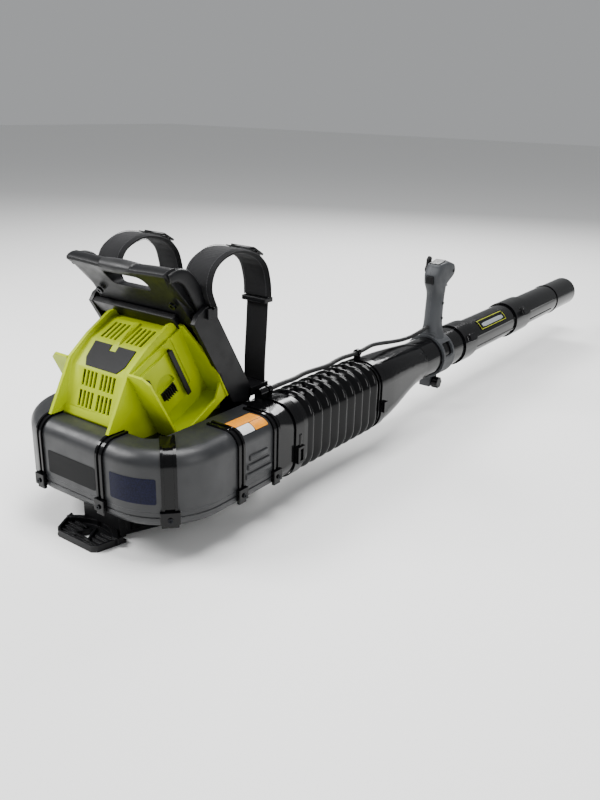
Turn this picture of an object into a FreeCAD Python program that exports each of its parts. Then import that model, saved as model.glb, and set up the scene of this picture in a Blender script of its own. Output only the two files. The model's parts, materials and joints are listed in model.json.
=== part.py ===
import FreeCAD, Part
import math
import os

V = FreeCAD.Vector
os.makedirs("parts", exist_ok=True)

# Backpack leaf blower. Millimetres, +Z up, +Y the way the tube points (the wearer's front),
# +X the wearer's right. The origin is on the floor under the fan's axis.

# ---- driving dimensions -------------------------------------------------------------------
WALL = 3.0                     # moulded wall of the big shells
SCROLL_BOTTOM = 58.0           # the scroll stands this high, so that air gets under it
SEAM = 84.0                    # joint between the two scroll shells
CREST = 172.0                  # highest line of the scroll
DECK = 150.0                   # lowered deck that the motor pod stands on
SCROLL_FRONT = -168.0
SCROLL_LEFT = -160.0
SCROLL_BACK = 120.0
DUCT_OUT = 197.0               # outer wall of the outlet duct
DUCT_IN = 97.0                 # inner wall of the outlet duct
DUCT_END = 74.0
SHOULDER = 24.0                # rounding of the scroll's top edge
UNDERSIDE = 16.0               # rounding of its bottom edge
CORNER = (92.0, -63.0)         # centre of the scroll's front right corner, seen from above
CORNER_R = 105.0
TUBE_X = 148.0                 # axis of the blower tube
TUBE_Z = 124.0
BELLOWS_REAR = 150.0
BELLOWS_FRONT = 372.0
BELLOWS_W = 100.0
BELLOWS_H = 134.0
BELLOWS_Z = 110.0              # the bellows sits a little lower than the tube
CONVOLUTIONS = 9
REAR_TUBE_R = 41.0
MIDDLE_TUBE_R = 39.0
NOZZLE_R = 38.0
TUBE_WALL = 2.0
TAPER_END = 572.0              # the square-to-round taper is over here
JOINT_1 = 745.0                # mouth of the first bayonet coupling
JOINT_2 = 1055.0               # mouth of the second one
NOZZLE_TIP = 1465.0
BEAD_Y = NOZZLE_TIP - 140.0    # a nozzle attachment is pushed on up to this bead
RUN_FIT = 0.05                 # running clearance on a radius
GAP = 0.3                      # clearance between bodies
POD_HALF = 60.0
FIN_T = 6.0
BAY_TILT = 27.0                # the batteries slide in this far from upright
BAY_ORIGIN = V(POD_HALF, -104.0, 253.0)
BAY_DEPTH = 48.0
BAY_LENGTH = 108.0
BAY_HEIGHT = 122.0
GRIP_Y = 658.0                 # upright line through the pistol grip
HANDLE_RING = (GRIP_Y - 24.0, GRIP_Y + 24.0)
STRAP_X = 95.0
STRAP_W = 54.0
STRAP_T = 12.0
CABLE_R = 4.0
FOOT_X = 16.0                  # the foot is centred under the scroll, not under the fan
FRAME_HALF = 108.0


# ---- helpers ------------------------------------------------------------------------------
def block(x0, x1, y0, y1, z0, z1):
    return Part.makeBox(x1 - x0, y1 - y0, z1 - z0, V(x0, y0, z0))


def rod(radius, start, end):
    axis = V(*end) - V(*start)
    return Part.makeCylinder(radius, axis.Length, V(*start), axis)


def ring(outer, inner, start, end):
    return rod(outer, start, end).cut(rod(inner, start, end))


def polygon(points):
    return Part.Face(Part.makePolygon(points + [points[0]]))


def prism_x(outline, x0, x1):
    """Outline of (y, z) pairs, extruded along X."""
    return polygon([V(x0, y, z) for y, z in outline]).extrude(V(x1 - x0, 0, 0))


def prism_y(outline, y0, y1):
    """Outline of (x, z) pairs, extruded along Y."""
    return polygon([V(x, y0, z) for x, z in outline]).extrude(V(0, y1 - y0, 0))


def prism_z(outline, z0, z1):
    """Outline of (x, y) pairs, extruded along Z."""
    return polygon([V(x, y, z0) for x, y in outline]).extrude(V(0, 0, z1 - z0))


def fuse(shapes):
    first, rest = shapes[0], shapes[1:]
    return first.fuse(rest).removeSplitter() if rest else first


def group(shapes):
    return Part.makeCompound(shapes)


def mirror_x(shape):
    return shape.mirror(V(0, 0, 0), V(1, 0, 0))


def both_sides(shape):
    return [shape, mirror_x(shape)]


def soften(shape, radius, chosen):
    """Round the edges that the test picks."""
    return shape.makeFillet(radius, [edge for edge in shape.Edges if chosen(edge)])


def along(edge, axis):
    line = edge.Vertexes[-1].Point - edge.Vertexes[0].Point
    return line.Length > 1e-6 and abs(line.dot(axis)) > 0.999 * line.Length


def rounded_rect(y, width, height, radius, x=TUBE_X, z=BELLOWS_Z):
    """Closed wire of a rounded rectangle across the tube at y."""
    a, b = width / 2.0 - radius, height / 2.0 - radius
    k = radius * math.sqrt(0.5)
    corners = [(a, b, 1, 1), (-a, b, -1, 1), (-a, -b, -1, -1), (a, -b, 1, -1)]
    edges = []
    ends = []
    for cx, cz, sx, sz in corners:
        side = V(x + cx + sx * radius, y, z + cz)
        top = V(x + cx, y, z + cz + sz * radius)
        middle = V(x + cx + sx * k, y, z + cz + sz * k)
        first, last = (side, top) if sx * sz > 0 else (top, side)
        edges.append(Part.Arc(first, middle, last).toShape())
        ends.append((first, last))
    lines = [Part.LineSegment(ends[i][1], ends[(i + 1) % 4][0]).toShape() for i in range(4)]
    ordered = [edge for pair in zip(edges, lines) for edge in pair]
    return Part.Wire(ordered)


def loft(wires, ruled=False):
    return Part.makeLoft(wires, True, ruled)


def bar(points, radius):
    """Round cord along straight runs joined by the largest tangent arcs that fit."""
    route = [V(*p) for p in points]
    edges = []
    start = route[0]
    for before, corner, after in zip(route, route[1:], route[2:]):
        back, ahead = before - corner, after - corner
        half_turn = (math.pi - back.getAngle(ahead)) / 2.0
        cut = 0.45 * min(back.Length, ahead.Length)
        bend = cut / math.tan(half_turn)
        back.normalize()
        ahead.normalize()
        first, last = corner + back * cut, corner + ahead * cut
        middle_way = (back + ahead).normalize()
        centre = corner + middle_way * (bend / math.cos(half_turn))
        edges.append(Part.LineSegment(start, first).toShape())
        edges.append(Part.Arc(first, centre - middle_way * bend, last).toShape())
        start = last
        print("cord bend radius", round(bend, 1))
    edges.append(Part.LineSegment(start, route[-1]).toShape())
    path = Part.Wire(edges)
    section = Part.Wire(Part.makeCircle(radius, route[0], route[1] - route[0]))
    cord = path.makePipeShell([section], True, True)
    print("cord length", round(path.Length, 1), "volume", round(cord.Volume),
          "section x length", round(math.pi * radius ** 2 * path.Length))
    return cord


def band(points, thickness, x0, x1):
    """Flat strap along a smooth line of (y, z) points, of even thickness, between x0 and x1."""
    centre = Part.BSplineCurve()
    centre.interpolate([V(x0, y, z) for y, z in points])
    sides = []
    for sign in (1, -1):
        shifted = []
        for y, z in points:
            at = centre.parameter(V(x0, y, z))
            across = centre.tangent(at)[0].cross(V(1, 0, 0))
            shifted.append(V(x0, y, z) + across * (sign * thickness / 2.0))
        curve = Part.BSplineCurve()
        curve.interpolate(shifted)
        sides.append((curve.toShape(), shifted[0], shifted[-1]))
    (outer, outer_start, outer_end), (inner, inner_start, inner_end) = sides
    caps = [Part.LineSegment(outer_end, inner_end).toShape(),
            Part.LineSegment(inner_start, outer_start).toShape()]
    outline = Part.Wire(Part.__sortEdges__([outer, caps[0], inner, caps[1]]))
    return Part.Face(outline).extrude(V(x1 - x0, 0, 0))


def save(shape, name):
    shape.exportStep("parts/" + name + ".step")
    print(name, len(shape.Solids), "solids", "valid" if shape.isValid() else "NOT VALID",
          round(shape.Volume / 1000.0, 1), "cm3")


# ---- scroll -------------------------------------------------------------------------------
def scroll_outline(inset, z, duct_end=DUCT_END):
    """The volute seen from above, its walls moved in by inset: it widens round to the duct."""
    right, inner = DUCT_OUT - inset, DUCT_IN + inset
    front, left, back = SCROLL_FRONT + inset, SCROLL_LEFT + inset, SCROLL_BACK - inset
    turn = math.sqrt(0.5)

    def arc(cx, cy, radius, start, end):
        reach = radius - inset
        turns = [math.radians(a) for a in (start, (start + end) / 2.0, end)]
        point = [V(cx + reach * math.cos(a), cy + reach * math.sin(a), z) for a in turns]
        return Part.Arc(*point).toShape(), point[0], point[2]

    corners = [arc(*CORNER, CORNER_R, 0, -90), arc(-50.0, -58.0, 110.0, -90, -180),
               arc(-50.0, 10.0, 110.0, 180, 90)]
    tongue = 27.0
    reach = tongue - inset
    centre = V(DUCT_IN - tongue, SCROLL_BACK - tongue, z)
    tongue_points = [centre + V(0, reach, 0), centre + V(reach * turn, reach * turn, 0),
                     centre + V(reach, 0, 0)]
    inner = tongue_points[2].x
    corners.append((Part.Arc(*tongue_points).toShape(), tongue_points[0], tongue_points[2]))
    edges = []
    previous = V(right, duct_end, z)
    for edge, first, last in corners:
        edges.append(Part.LineSegment(previous, first).toShape())
        edges.append(edge)
        previous = last
    if abs(previous.y - duct_end) > 1e-6:
        edges.append(Part.LineSegment(previous, V(inner, duct_end, z)).toShape())
    edges.append(Part.LineSegment(V(inner, duct_end, z), V(right, duct_end, z)).toShape())
    return Part.Wire(edges)


def scroll_block(inset, low, high, top_round=0.0, bottom_round=0.0):
    body = Part.Face(scroll_outline(inset, low)).extrude(V(0, 0, high - low))

    def rim(level):
        def chosen(edge):
            box = edge.BoundBox
            flat = abs(box.ZMin - level) < 1e-6 and abs(box.ZMax - level) < 1e-6
            at_mouth = abs(box.YMin - DUCT_END) < 1e-6 and abs(box.YMax - DUCT_END) < 1e-6
            return flat and not at_mouth
        return chosen

    if top_round:
        body = soften(body, top_round, rim(high))
    if bottom_round:
        body = soften(body, bottom_round, rim(low))
    return body


def deck_pocket(margin, floor):
    """The lowered place in the middle of the scroll's top."""
    pocket = block(-116 - margin, 122 + margin, -119 - margin, SCROLL_BACK + 20, floor, CREST + 10)
    return soften(pocket, 26.0 + margin, lambda e: along(e, V(0, 0, 1)) and e.BoundBox.YMax < 0)


def scroll_upper_shell():
    outer = scroll_block(0.0, SEAM, CREST, top_round=SHOULDER)
    outer = outer.cut(deck_pocket(0.0, DECK))
    inside = scroll_block(WALL, SEAM - 1, CREST - WALL, top_round=SHOULDER - WALL)
    inside = inside.cut(deck_pocket(WALL, DECK - WALL))
    shell = outer.cut(inside)
    mouth = block(DUCT_IN + WALL, DUCT_OUT - WALL, DUCT_END - 20, DUCT_END + 5, SEAM - 1, CREST - 14)
    shell = shell.cut(mouth)
    return shell.cut(rod(50.0, (0, 0, DECK - 20), (0, 0, DECK + 5)))


def scroll_lower_shell():
    outer = scroll_block(0.0, SCROLL_BOTTOM, SEAM, bottom_round=UNDERSIDE)
    inside = scroll_block(WALL, SCROLL_BOTTOM + WALL, SEAM + 1, bottom_round=UNDERSIDE - WALL)
    shell = outer.cut(inside)
    mouth = block(DUCT_IN + WALL, DUCT_OUT - WALL, DUCT_END - 20, DUCT_END + 5,
                  SCROLL_BOTTOM + UNDERSIDE - WALL, SEAM + 1)
    shell = shell.cut(mouth)
    groove = scroll_block(-2.0, SEAM - 9, SEAM - 6.5).cut(scroll_block(1.2, SEAM - 10, SEAM - 5))
    shell = shell.cut(groove)
    return shell.cut(rod(74.0, (0, 0, SCROLL_BOTTOM - 2), (0, 0, SCROLL_BOTTOM + 10)))


BAND_TURN = -43.0              # the wide band stands on the front corner, this far round

# Where the bands cross the scroll's wall: a point on the wall, the way out, and the width.
BAND_PLACES = [
    (-67.0, SCROLL_FRONT, -90.0, 14.0),
    (67.0, SCROLL_FRONT, -90.0, 14.0),
    (CORNER[0] + CORNER_R * math.cos(math.radians(BAND_TURN)),
     CORNER[1] + CORNER_R * math.sin(math.radians(BAND_TURN)), BAND_TURN, 22.0),
    (DUCT_OUT, -18.0, 0.0, 14.0),
    (DUCT_OUT, 64.0, 0.0, 14.0),
    (SCROLL_LEFT, -12.0, 180.0, 14.0),
    (-20.0, SCROLL_BACK, 90.0, 14.0),
]


def band_slab(place, half, shift=0.0):
    """Slab across the wall at a band's place, used to cut one strip of the band out of a shell."""
    x, y, angle, width = place
    slab = block(-60, 14, shift - half, shift + half, SEAM - 20, CREST + 12)
    slab.rotate(V(0, 0, 0), V(0, 0, 1), angle)
    slab.translate(V(x, y, 0))
    return slab


def band_foot(place):
    """Clip foot at the end of a band, hooked over the seam."""
    half = place[3] / 2.0 + 3.0
    foot = block(0.0, 7.0, -half, half, SEAM - 16, SEAM + 2)
    lip = block(0.0, 4.6, -half + 2, half - 2, SEAM - 22, SEAM - 16)
    clip = fuse([foot, lip])
    clip = soften(clip, 1.2, lambda e: along(e, V(0, 0, 1)) and e.BoundBox.XMin > 4)
    clip.rotate(V(0, 0, 0), V(0, 0, 1), place[2])
    return clip.translate(V(place[0], place[1], 0))


def rib_bands():
    """Bands over the seam: a low floor between two raised edges, with a clip foot at the end."""
    core = scroll_block(0.0, SEAM, CREST, top_round=SHOULDER)
    thin = scroll_block(-1.4, SEAM, CREST + 1.4, top_round=SHOULDER + 1.4).cut(core)
    thick = scroll_block(-3.4, SEAM, CREST + 3.4, top_round=SHOULDER + 3.4).cut(core)
    shells = [core, scroll_block(0.0, SCROLL_BOTTOM, SEAM)]
    pocket = deck_pocket(0.0, DECK)
    bands = []
    for place in BAND_PLACES:
        half = place[3] / 2.0
        floor = thin.common(band_slab(place, half - 1.0))
        edges = [thick.common(band_slab(place, 2.0, shift=side * (half - 2.0))) for side in (-1, 1)]
        foot = band_foot(place).cut(shells)
        bands.append(floor.fuse(edges + [foot]).cut(pocket))
    return group([solid for item in bands for solid in item.Solids])


def shell_screws():
    screws = []
    for place in BAND_PLACES:
        angle = math.radians(place[2])
        out = V(math.cos(angle), math.sin(angle), 0)
        start = V(place[0], place[1], SEAM - 9) + out * 7.0
        head = Part.makeCylinder(3.6, 2.0, start, out)
        head = head.cut(Part.makeCylinder(1.6, 1.4, start + out * 0.7, out))
        screws.append(head)
    return screws


def intake_guard():
    """Finger guard across the intake under the scroll: rings on spokes."""
    low, high = SCROLL_BOTTOM - 4.0, SCROLL_BOTTOM
    parts = [ring(80, 72, (0, 0, low), (0, 0, high))]
    for radius in (22.0, 34.0, 46.0, 59.0):
        parts.append(ring(radius + 1.4, radius - 1.4, (0, 0, low), (0, 0, high)))
    for turn in range(6):
        spoke = block(10, 74, -1.6, 1.6, low, high)
        spoke.rotate(V(0, 0, 0), V(0, 0, 1), 60 * turn)
        parts.append(spoke)
    parts.append(rod(12, (0, 0, low), (0, 0, high)))
    return fuse(parts)


# ---- fan and motor ------------------------------------------------------------------------
IMPELLER_R = 92.0
IMPELLER_LOW = 66.0
IMPELLER_HIGH = 108.0
SHAFT_R = 6.0
MOTOR_R = 47.0
MOTOR_FLOOR = 114.0


def impeller():
    plate = rod(IMPELLER_R, (0, 0, IMPELLER_HIGH - 3), (0, 0, IMPELLER_HIGH))
    eye = ring(IMPELLER_R, 66, (0, 0, IMPELLER_LOW), (0, 0, IMPELLER_LOW + 3))
    hub = rod(16, (0, 0, IMPELLER_LOW + 6), (0, 0, IMPELLER_HIGH + 2))
    parts = [plate, eye, hub]
    for turn in range(9):
        arc = ring(60, 57.4, (0, 0, IMPELLER_LOW + 2), (0, 0, IMPELLER_HIGH - 2))
        blade = arc.common(block(-60, 60, 0, 60, IMPELLER_LOW, IMPELLER_HIGH))
        blade.translate(V(52, 0, 0))
        blade = blade.common(ring(IMPELLER_R - 0.5, 34, (0, 0, IMPELLER_LOW), (0, 0, IMPELLER_HIGH)))
        blade = max(blade.Solids, key=lambda solid: solid.Volume)
        blade.rotate(V(0, 0, 0), V(0, 0, 1), 40 * turn)
        parts.append(blade)
    return fuse(parts).cut(rod(SHAFT_R, (0, 0, 0), (0, 0, 300)))


def motor_mount():
    """Cup that hangs the motor in the deck, over the impeller."""
    flange = ring(56.5, MOTOR_R, (0, 0, DECK), (0, 0, DECK + 4))
    cup = ring(MOTOR_R + 3, MOTOR_R, (0, 0, MOTOR_FLOOR), (0, 0, DECK + 4))
    floor = ring(MOTOR_R + 3, 13, (0, 0, MOTOR_FLOOR), (0, 0, MOTOR_FLOOR + 4))
    boss = ring(18, 13, (0, 0, MOTOR_FLOOR), (0, 0, MOTOR_FLOOR + 9))
    return fuse([flange, cup, floor, boss])


def motor_cap():
    disc = ring(MOTOR_R + 4, 11, (0, 0, 176), (0, 0, 179))
    boss = ring(16, 11, (0, 0, 176), (0, 0, 187))
    wall = ring(MOTOR_R + 4, MOTOR_R, (0, 0, DECK + 4), (0, 0, 176))
    windows = []
    for turn in range(4):
        window = block(MOTOR_R - 5, MOTOR_R + 8, -12, 12, 160, 170)
        window.rotate(V(0, 0, 0), V(0, 0, 1), 45 + 90 * turn)
        windows.append(window)
    return fuse([disc, boss, wall]).cut(windows)


def motor_stator():
    parts = [ring(MOTOR_R, 39, (0, 0, 126), (0, 0, 164))]
    for turn in range(12):
        tooth = block(28, 41, -3.2, 3.2, 126, 164)
        tip = block(27, 30, -6.0, 6.0, 126, 164)
        for piece in (tooth, tip):
            piece.rotate(V(0, 0, 0), V(0, 0, 1), 30 * turn)
            parts.append(piece)
    return fuse(parts).cut(rod(27, (0, 0, 120), (0, 0, 170)))


def motor_windings():
    coils = []
    for turn in range(12):
        coil = block(31, 38, -6.4, 6.4, 123, 167).cut(block(30, 39, -3.3, 3.3, 125.9, 164.1))
        coil.rotate(V(0, 0, 0), V(0, 0, 1), 30 * turn)
        coils.append(coil)
    return group(coils)


def motor_rotor():
    return ring(26, SHAFT_R, (0, 0, 126), (0, 0, 166))


def motor_shaft():
    return rod(SHAFT_R, (0, 0, 60), (0, 0, 188))


def impeller_nut():
    hexagon = prism_z([(10 * math.cos(math.radians(60 * k)), 10 * math.sin(math.radians(60 * k)))
                       for k in range(6)], 64, 71.9)
    return hexagon.cut(rod(SHAFT_R, (0, 0, 0), (0, 0, 90)))


def motor_bearings():
    lower = ring(13, SHAFT_R + RUN_FIT, (0, 0, MOTOR_FLOOR), (0, 0, MOTOR_FLOOR + 8))
    upper = ring(11, SHAFT_R + RUN_FIT, (0, 0, 177), (0, 0, 186))
    return group([lower, upper])


BOARD_Y = 22.0


def controller_board():
    """Motor controller: a board with its capacitors and power transistors."""
    parts = [block(-50, 50, BOARD_Y, BOARD_Y + 2, 196, 260)]
    for column in range(4):
        x = -36 + 24 * column
        parts.append(rod(6, (x, BOARD_Y, 246), (x, BOARD_Y - 18, 246)))
        parts.append(block(x - 6, x + 6, BOARD_Y - 4, BOARD_Y, 208, 222))
    return fuse(parts)


def heat_sink():
    face = BOARD_Y + 2.0
    parts = [block(-48, 48, face, face + 4, 198, 232)]
    for fin in range(9):
        x = -46 + 11.3 * fin
        parts.append(block(x, x + 1.8, face + 3, face + 12, 198, 232))
    return fuse(parts)


# ---- motor pod ----------------------------------------------------------------------------
POD_PROFILE = [(-113, DECK), (-113, CREST + 0.4), (-127, CREST + 0.4), (-121, 186), (-101, 246),
               (-68, 277), (-22, 300), (16, 300), (88, 176), (88, DECK)]


def pod_inside(inset):
    wire = Part.makePolygon([V(0, y, z) for y, z in POD_PROFILE + [POD_PROFILE[0]]])
    inner = Part.Face(wire).makeOffset2D(-inset, join=2)
    return inner.extrude(V(2 * (POD_HALF - inset), 0, 0)).translate(V(-(POD_HALF - inset), 0, 0))


def vent_slots():
    cuts = []
    for row_low, row_high in ((188, 212), (218, 241)):
        for column in range(4):
            x = 5.0 + 8.4 * column
            for side in (-1, 1):
                centre = side * (x + 2.0)
                cuts.append(block(centre - 2.5, centre + 2.5, -135, -95, row_low, row_high))
    return cuts


def top_louvres():
    slope = math.degrees(math.atan2(23, 46))
    cuts = []
    for column in range(4):
        for side in (-1, 1):
            slot = block(-2.4, 2.4, 8, 44, -6, 6)
            slot.rotate(V(0, 0, 0), V(1, 0, 0), slope)
            slot.translate(V(side * (13 + 9.5 * column), -68, 277))
            cuts.append(slot)
    return cuts


def pod_shell():
    body = prism_x(POD_PROFILE, -POD_HALF, POD_HALF)
    shell = body.cut(pod_inside(WALL))
    shell = shell.cut(vent_slots() + top_louvres())
    shell = shell.cut(block(-POD_HALF + WALL, POD_HALF - WALL, -100, 84, DECK - 5, DECK + WALL + 5))
    ridge = prism_x([(-70, 275), (-66, 281), (-24, 302), (-22, 298)], -5, 5)
    return fuse([shell, ridge] + both_sides(pod_fin()))


def pod_fin():
    """Side fin of the pod, which stands over the scroll's rim at the front."""
    outline = [(-149, CREST + 3.6), (-145, CREST + 3.6), (-113, DECK), (84, DECK), (84, 182),
               (22, 301), (8, 312), (-26, 310), (-70, 284), (-106, 256)]
    fin = prism_x(outline, POD_HALF, POD_HALF + FIN_T)
    return fin.cut(block(POD_HALF - 1, POD_HALF + FIN_T + 1, -160, -119, CREST - 40, CREST + 3.6))


def pod_solid():
    """The pod without its hollow, to cut its neighbours with."""
    return fuse([prism_x(POD_PROFILE, -POD_HALF, POD_HALF)] + both_sides(pod_fin()))


def bay_place(shape):
    shape.rotate(V(0, 0, 0), V(1, 0, 0), BAY_TILT)
    shape.translate(BAY_ORIGIN + V(FIN_T, 0, 0))
    return shape


def battery_bay():
    """Open pocket on the pod's side. Local x is outwards, y rearwards, -z the way a pack slides in."""
    floor_z = -BAY_HEIGHT
    panel = block(0, 4, 0, BAY_LENGTH, floor_z, 0)
    front = prism_y([(0, 4), (28, 4), (BAY_DEPTH - 8, -6), (BAY_DEPTH - 2, floor_z + 14),
                     (34, floor_z - 4), (0, floor_z - 4)], -4.0, 0.0)
    rear = prism_y([(0, 8), (14, 6), (36, -42), (BAY_DEPTH, floor_z + 40), (BAY_DEPTH - 2, floor_z - 4),
                    (0, floor_z - 4)], BAY_LENGTH, BAY_LENGTH + 4.0)
    floor = block(0, BAY_DEPTH - 6, -4, BAY_LENGTH + 4, floor_z - 4, floor_z)
    lip = prism_x([(-4, floor_z - 4), (BAY_LENGTH + 4, floor_z - 4), (BAY_LENGTH + 4, floor_z + 30),
                   (BAY_LENGTH - 20, floor_z + 8), (-4, floor_z + 8)], BAY_DEPTH - 8, BAY_DEPTH - 4)
    plate = block(4, 8, 8, 76, -96, -12)
    plate = soften(plate, 3.0, lambda e: along(e, V(1, 0, 0)))
    slot = Part.makeCylinder(20, 6, V(3, 40, -58), V(1, 0, 0)).cut(block(0, 20, 0, 100, -100, -58))
    gutter = block(2, 9, 80, 86, -88, 4)
    bay = bay_place(fuse([panel, front, rear, floor, lip, plate]).cut(slot).cut(gutter))
    return bay.cut(block(0, 200, -200, 200, DECK - 40, DECK))


def battery_rails():
    rails = [block(8, 12, 12, 16, -92, -20), block(8, 14, 68, 72, -92, -8)]
    hooks = [block(12, 15, 10, 16, -92, -20), block(14, 17, 64, 72, -92, -8)]
    return bay_place(fuse(rails + hooks))


def terminal_block():
    base = block(4.0, 6.0, 26, 54, -72.9, -58.1)
    parts = [base]
    for tooth in range(6):
        y = 28.5 + 4.2 * tooth
        parts.append(block(6.0, 12.0, y, y + 1.4, -72, -58.1))
    return bay_place(fuse(parts).translate(V(4.1, 0, 0)))


def front_badge():
    """Blank plate on the sloped face, notched at its top edge, narrower at the bottom."""
    half_top, half_low = 44, 33
    outline = [(-half_top, 43), (-7, 43), (-7, 33), (7, 33), (7, 43), (half_top, 43), (half_top - 2, 14),
               (half_low, 1), (-half_low, 1), (-half_top + 2, 14)]
    face = polygon([V(x, y, 0) for x, y in outline])
    badge = face.extrude(V(0, 0, 1.2))
    badge.rotate(V(0, 0, 0), V(1, 0, 0), math.degrees(math.atan2(31, 33)))
    badge.translate(V(0, -101, 246))
    return badge


# ---- stand, frame and handle --------------------------------------------------------------
PLATE_T = 6.0
FOOT_SOCKET_R = 9.0
FOOT_PLACES = [(FOOT_X - 36, -174), (FOOT_X + 36, -174), (FOOT_X + 74, 118), (FOOT_X - 88, 118)]
FOOT_DEEP = 2.0                # the rubber discs are let this far into the stand, flush with it


def foot_sockets(radius):
    return [rod(radius, (x, y, 0), (x, y, FOOT_DEEP)) for x, y in FOOT_PLACES]


def base_plate():
    plate = prism_z([(FOOT_X - 34, -128), (FOOT_X + 34, -128), (FOOT_X + 62, -60), (FOOT_X + 92, 60),
                     (FOOT_X + 92, 136), (FOOT_X - 108, 136), (FOOT_X - 92, 60), (FOOT_X - 62, -60)],
                    0, PLATE_T)
    posts = []
    for x, y in ((FOOT_X - 30, -112), (FOOT_X + 30, -112), (-88, 70), (88, 84)):
        posts.append(rod(11, (x, y, PLATE_T), (x, y, SCROLL_BOTTOM)))
    neck = block(FOOT_X - 38, FOOT_X + 42, -132, -120, 0, SCROLL_BOTTOM + 1)
    neck = neck.cut(scroll_block(0.0, SCROLL_BOTTOM, SEAM, bottom_round=UNDERSIDE))
    return fuse([plate, neck] + posts).cut(foot_sockets(FOOT_SOCKET_R))


def foot_pad():
    """Pedal in front of the stand: a tray with tread bars, a rounded rear rim and a triangular hole."""
    cx = FOOT_X
    front, rear = -184.0, -132.0
    outline = [(cx - 66, rear), (cx - 60, -148), (cx - 44, front + 6), (cx - 36, front), (cx + 38, front),
               (cx + 46, front + 6), (cx + 52, -150), (cx + 56, rear)]
    tray = prism_z(outline, 0, 5)
    edge = prism_z(outline, 0, 11)
    inner = [(cx + (x - cx) * 0.93, (y + 158) * 0.90 - 158) for x, y in outline]
    wall = edge.cut(prism_z(inner, -1, 12)).cut(block(-100, 120, rear - 5, rear + 5, -1, 20))
    hole = prism_z([(cx - 14, -169), (cx + 14, -169), (cx, -146)], -1, 14)
    collar = prism_z([(cx - 20, -172.4), (cx + 20, -172.4), (cx, -139)], 0, 9)
    bars = []
    for step in range(4):
        y = -174 + 9 * step
        bars.append(block(cx + 10 + 2 * step, cx + 54, y, y + 3, 4, 8))
        bars.append(block(cx - 50, cx - 10 - 2 * step, y, y + 3, 4, 8))
    inside = prism_z(inner, 1, 12)
    bars = [item.common(inside) for item in bars]
    rim = ring(78, 70, (cx, -202, 4), (cx, -202, 14)).common(block(cx - 62, cx + 60, -150, rear, 3, 15))
    return fuse([tray, wall, collar, rim] + bars).cut(hole).cut(foot_sockets(FOOT_SOCKET_R))


def rubber_feet():
    return group(foot_sockets(FOOT_SOCKET_R))


def back_frame():
    """Slanting back of the machine, which the harness hangs on: a plate with ribs and side flanges."""
    outline = [(2, 336), (-10, 326), (90, 166), (121, 152), (121, PLATE_T), (136, PLATE_T), (136, 150),
               (106, 180)]
    plate = prism_x(outline, -FRAME_HALF, FRAME_HALF)
    plate = plate.cut(block(91, 220, -50, 200, 40, 190))
    window = block(-60, 60, 100, 160, 60, 128)
    flange = prism_x([(-14, 330), (-22, 318), (62, 176), (100, 170), (110, 182), (14, 344)],
                     FRAME_HALF - 2, FRAME_HALF + 6)
    frame = fuse([plate.cut(window)] + both_sides(flange))
    return frame.cut([pod_solid(), rib_bands()] + both_sides(battery_bay()) + both_sides(shoulder_strap()))


def carry_handle():
    """Canopy that leans over the pod, with side cheeks, a hand slot and a lip at the top."""
    half = 97.0
    hood = prism_x([(-2, 306), (-52, 378), (-67, 392), (-67, 398), (-42, 402), (-40, 388), (8, 316)],
                   -half, half)
    slot = block(-40, 40, -90, 20, 357, 381)
    cheek = prism_x([(-67, 392), (-67, 398), (-42, 403), (-26, 394), (8, 338), (4, 314), (-4, 314),
                     (-52, 378)], half - 1, half + 7)
    ribs = [prism_x([(-10, 308), (-54, 372), (-48, 378), (2, 308)], x - 1.5, x + 1.5) for x in (-58, 58)]
    hood = hood.cut(slot).cut(handle_grip())
    step = prism_x([(-8, 302), (-22, 322), (-14, 328), (0, 308)], -half - 6, half - 30)
    handle = fuse([hood, step] + both_sides(cheek) + ribs).cut(back_frame_room())
    return handle.cut([pod_solid()] + both_sides(battery_bay()))


def back_frame_room():
    outline = [(2, 336), (-10, 326), (90, 166), (130, 166), (60, 260)]
    return prism_x(outline, -FRAME_HALF - 10, FRAME_HALF + 10)


def handle_grip():
    """Rounded palm piece in the middle of the top bar."""
    return rod(9.0, (-34, -40, 391), (34, -40, 391))


def handle_screws():
    screws = []
    normal = V(0, -0.82, -0.57)
    for x in (-78, 78):
        seat = V(x, -27, 342)
        head = Part.makeCylinder(6.0, 4.0, seat, normal)
        head = head.cut(Part.makeCylinder(2.6, 2.5, seat + normal * 2.5, normal))
        screws.append(head)
    return screws


# ---- harness ------------------------------------------------------------------------------
STRAP_LINE = [(17, 338), (7, 368), (20, 397), (58, 412), (102, 405), (130, 385), (141, 355), (143, 330)]
WEB_LINE = [(143, 322), (140, 272), (137, 232), (136, 192.4)]


def shoulder_strap():
    return band(STRAP_LINE, STRAP_T, STRAP_X - STRAP_W / 2, STRAP_X + STRAP_W / 2)


def strap_webbing():
    return band(WEB_LINE, 6.0, STRAP_X - 22, STRAP_X + 22)


def strap_buckle():
    frame = block(STRAP_X - 24, STRAP_X + 24, 132, 152, 322.2, 329.8)
    return frame.cut(block(STRAP_X - 20, STRAP_X + 20, 138.5, 146.5, 320, 332))


def strap_anchors():
    """Blocks on the frame that the pads hang from and that the webbing is pulled down to."""
    anchors = []
    for y0, y1, z0, z1 in ((2.5, 23, 322, 337.5), (100, 142, 178, 192)):
        for anchor in both_sides(block(STRAP_X - 24, STRAP_X + 24, y0, y1, z0, z1)):
            anchors.append(anchor.cut([back_frame(), carry_handle()] + both_sides(shoulder_strap())))
    return group(anchors)


def back_pad():
    """Padded panel on the wearer's side of the frame."""
    pad = prism_x([(24, 330), (110, 190), (132, 172), (150, 180), (128, 206), (44, 340)], -66, 66)
    return soften(pad, 6.0, lambda e: along(e, V(1, 0, 0)))


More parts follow.
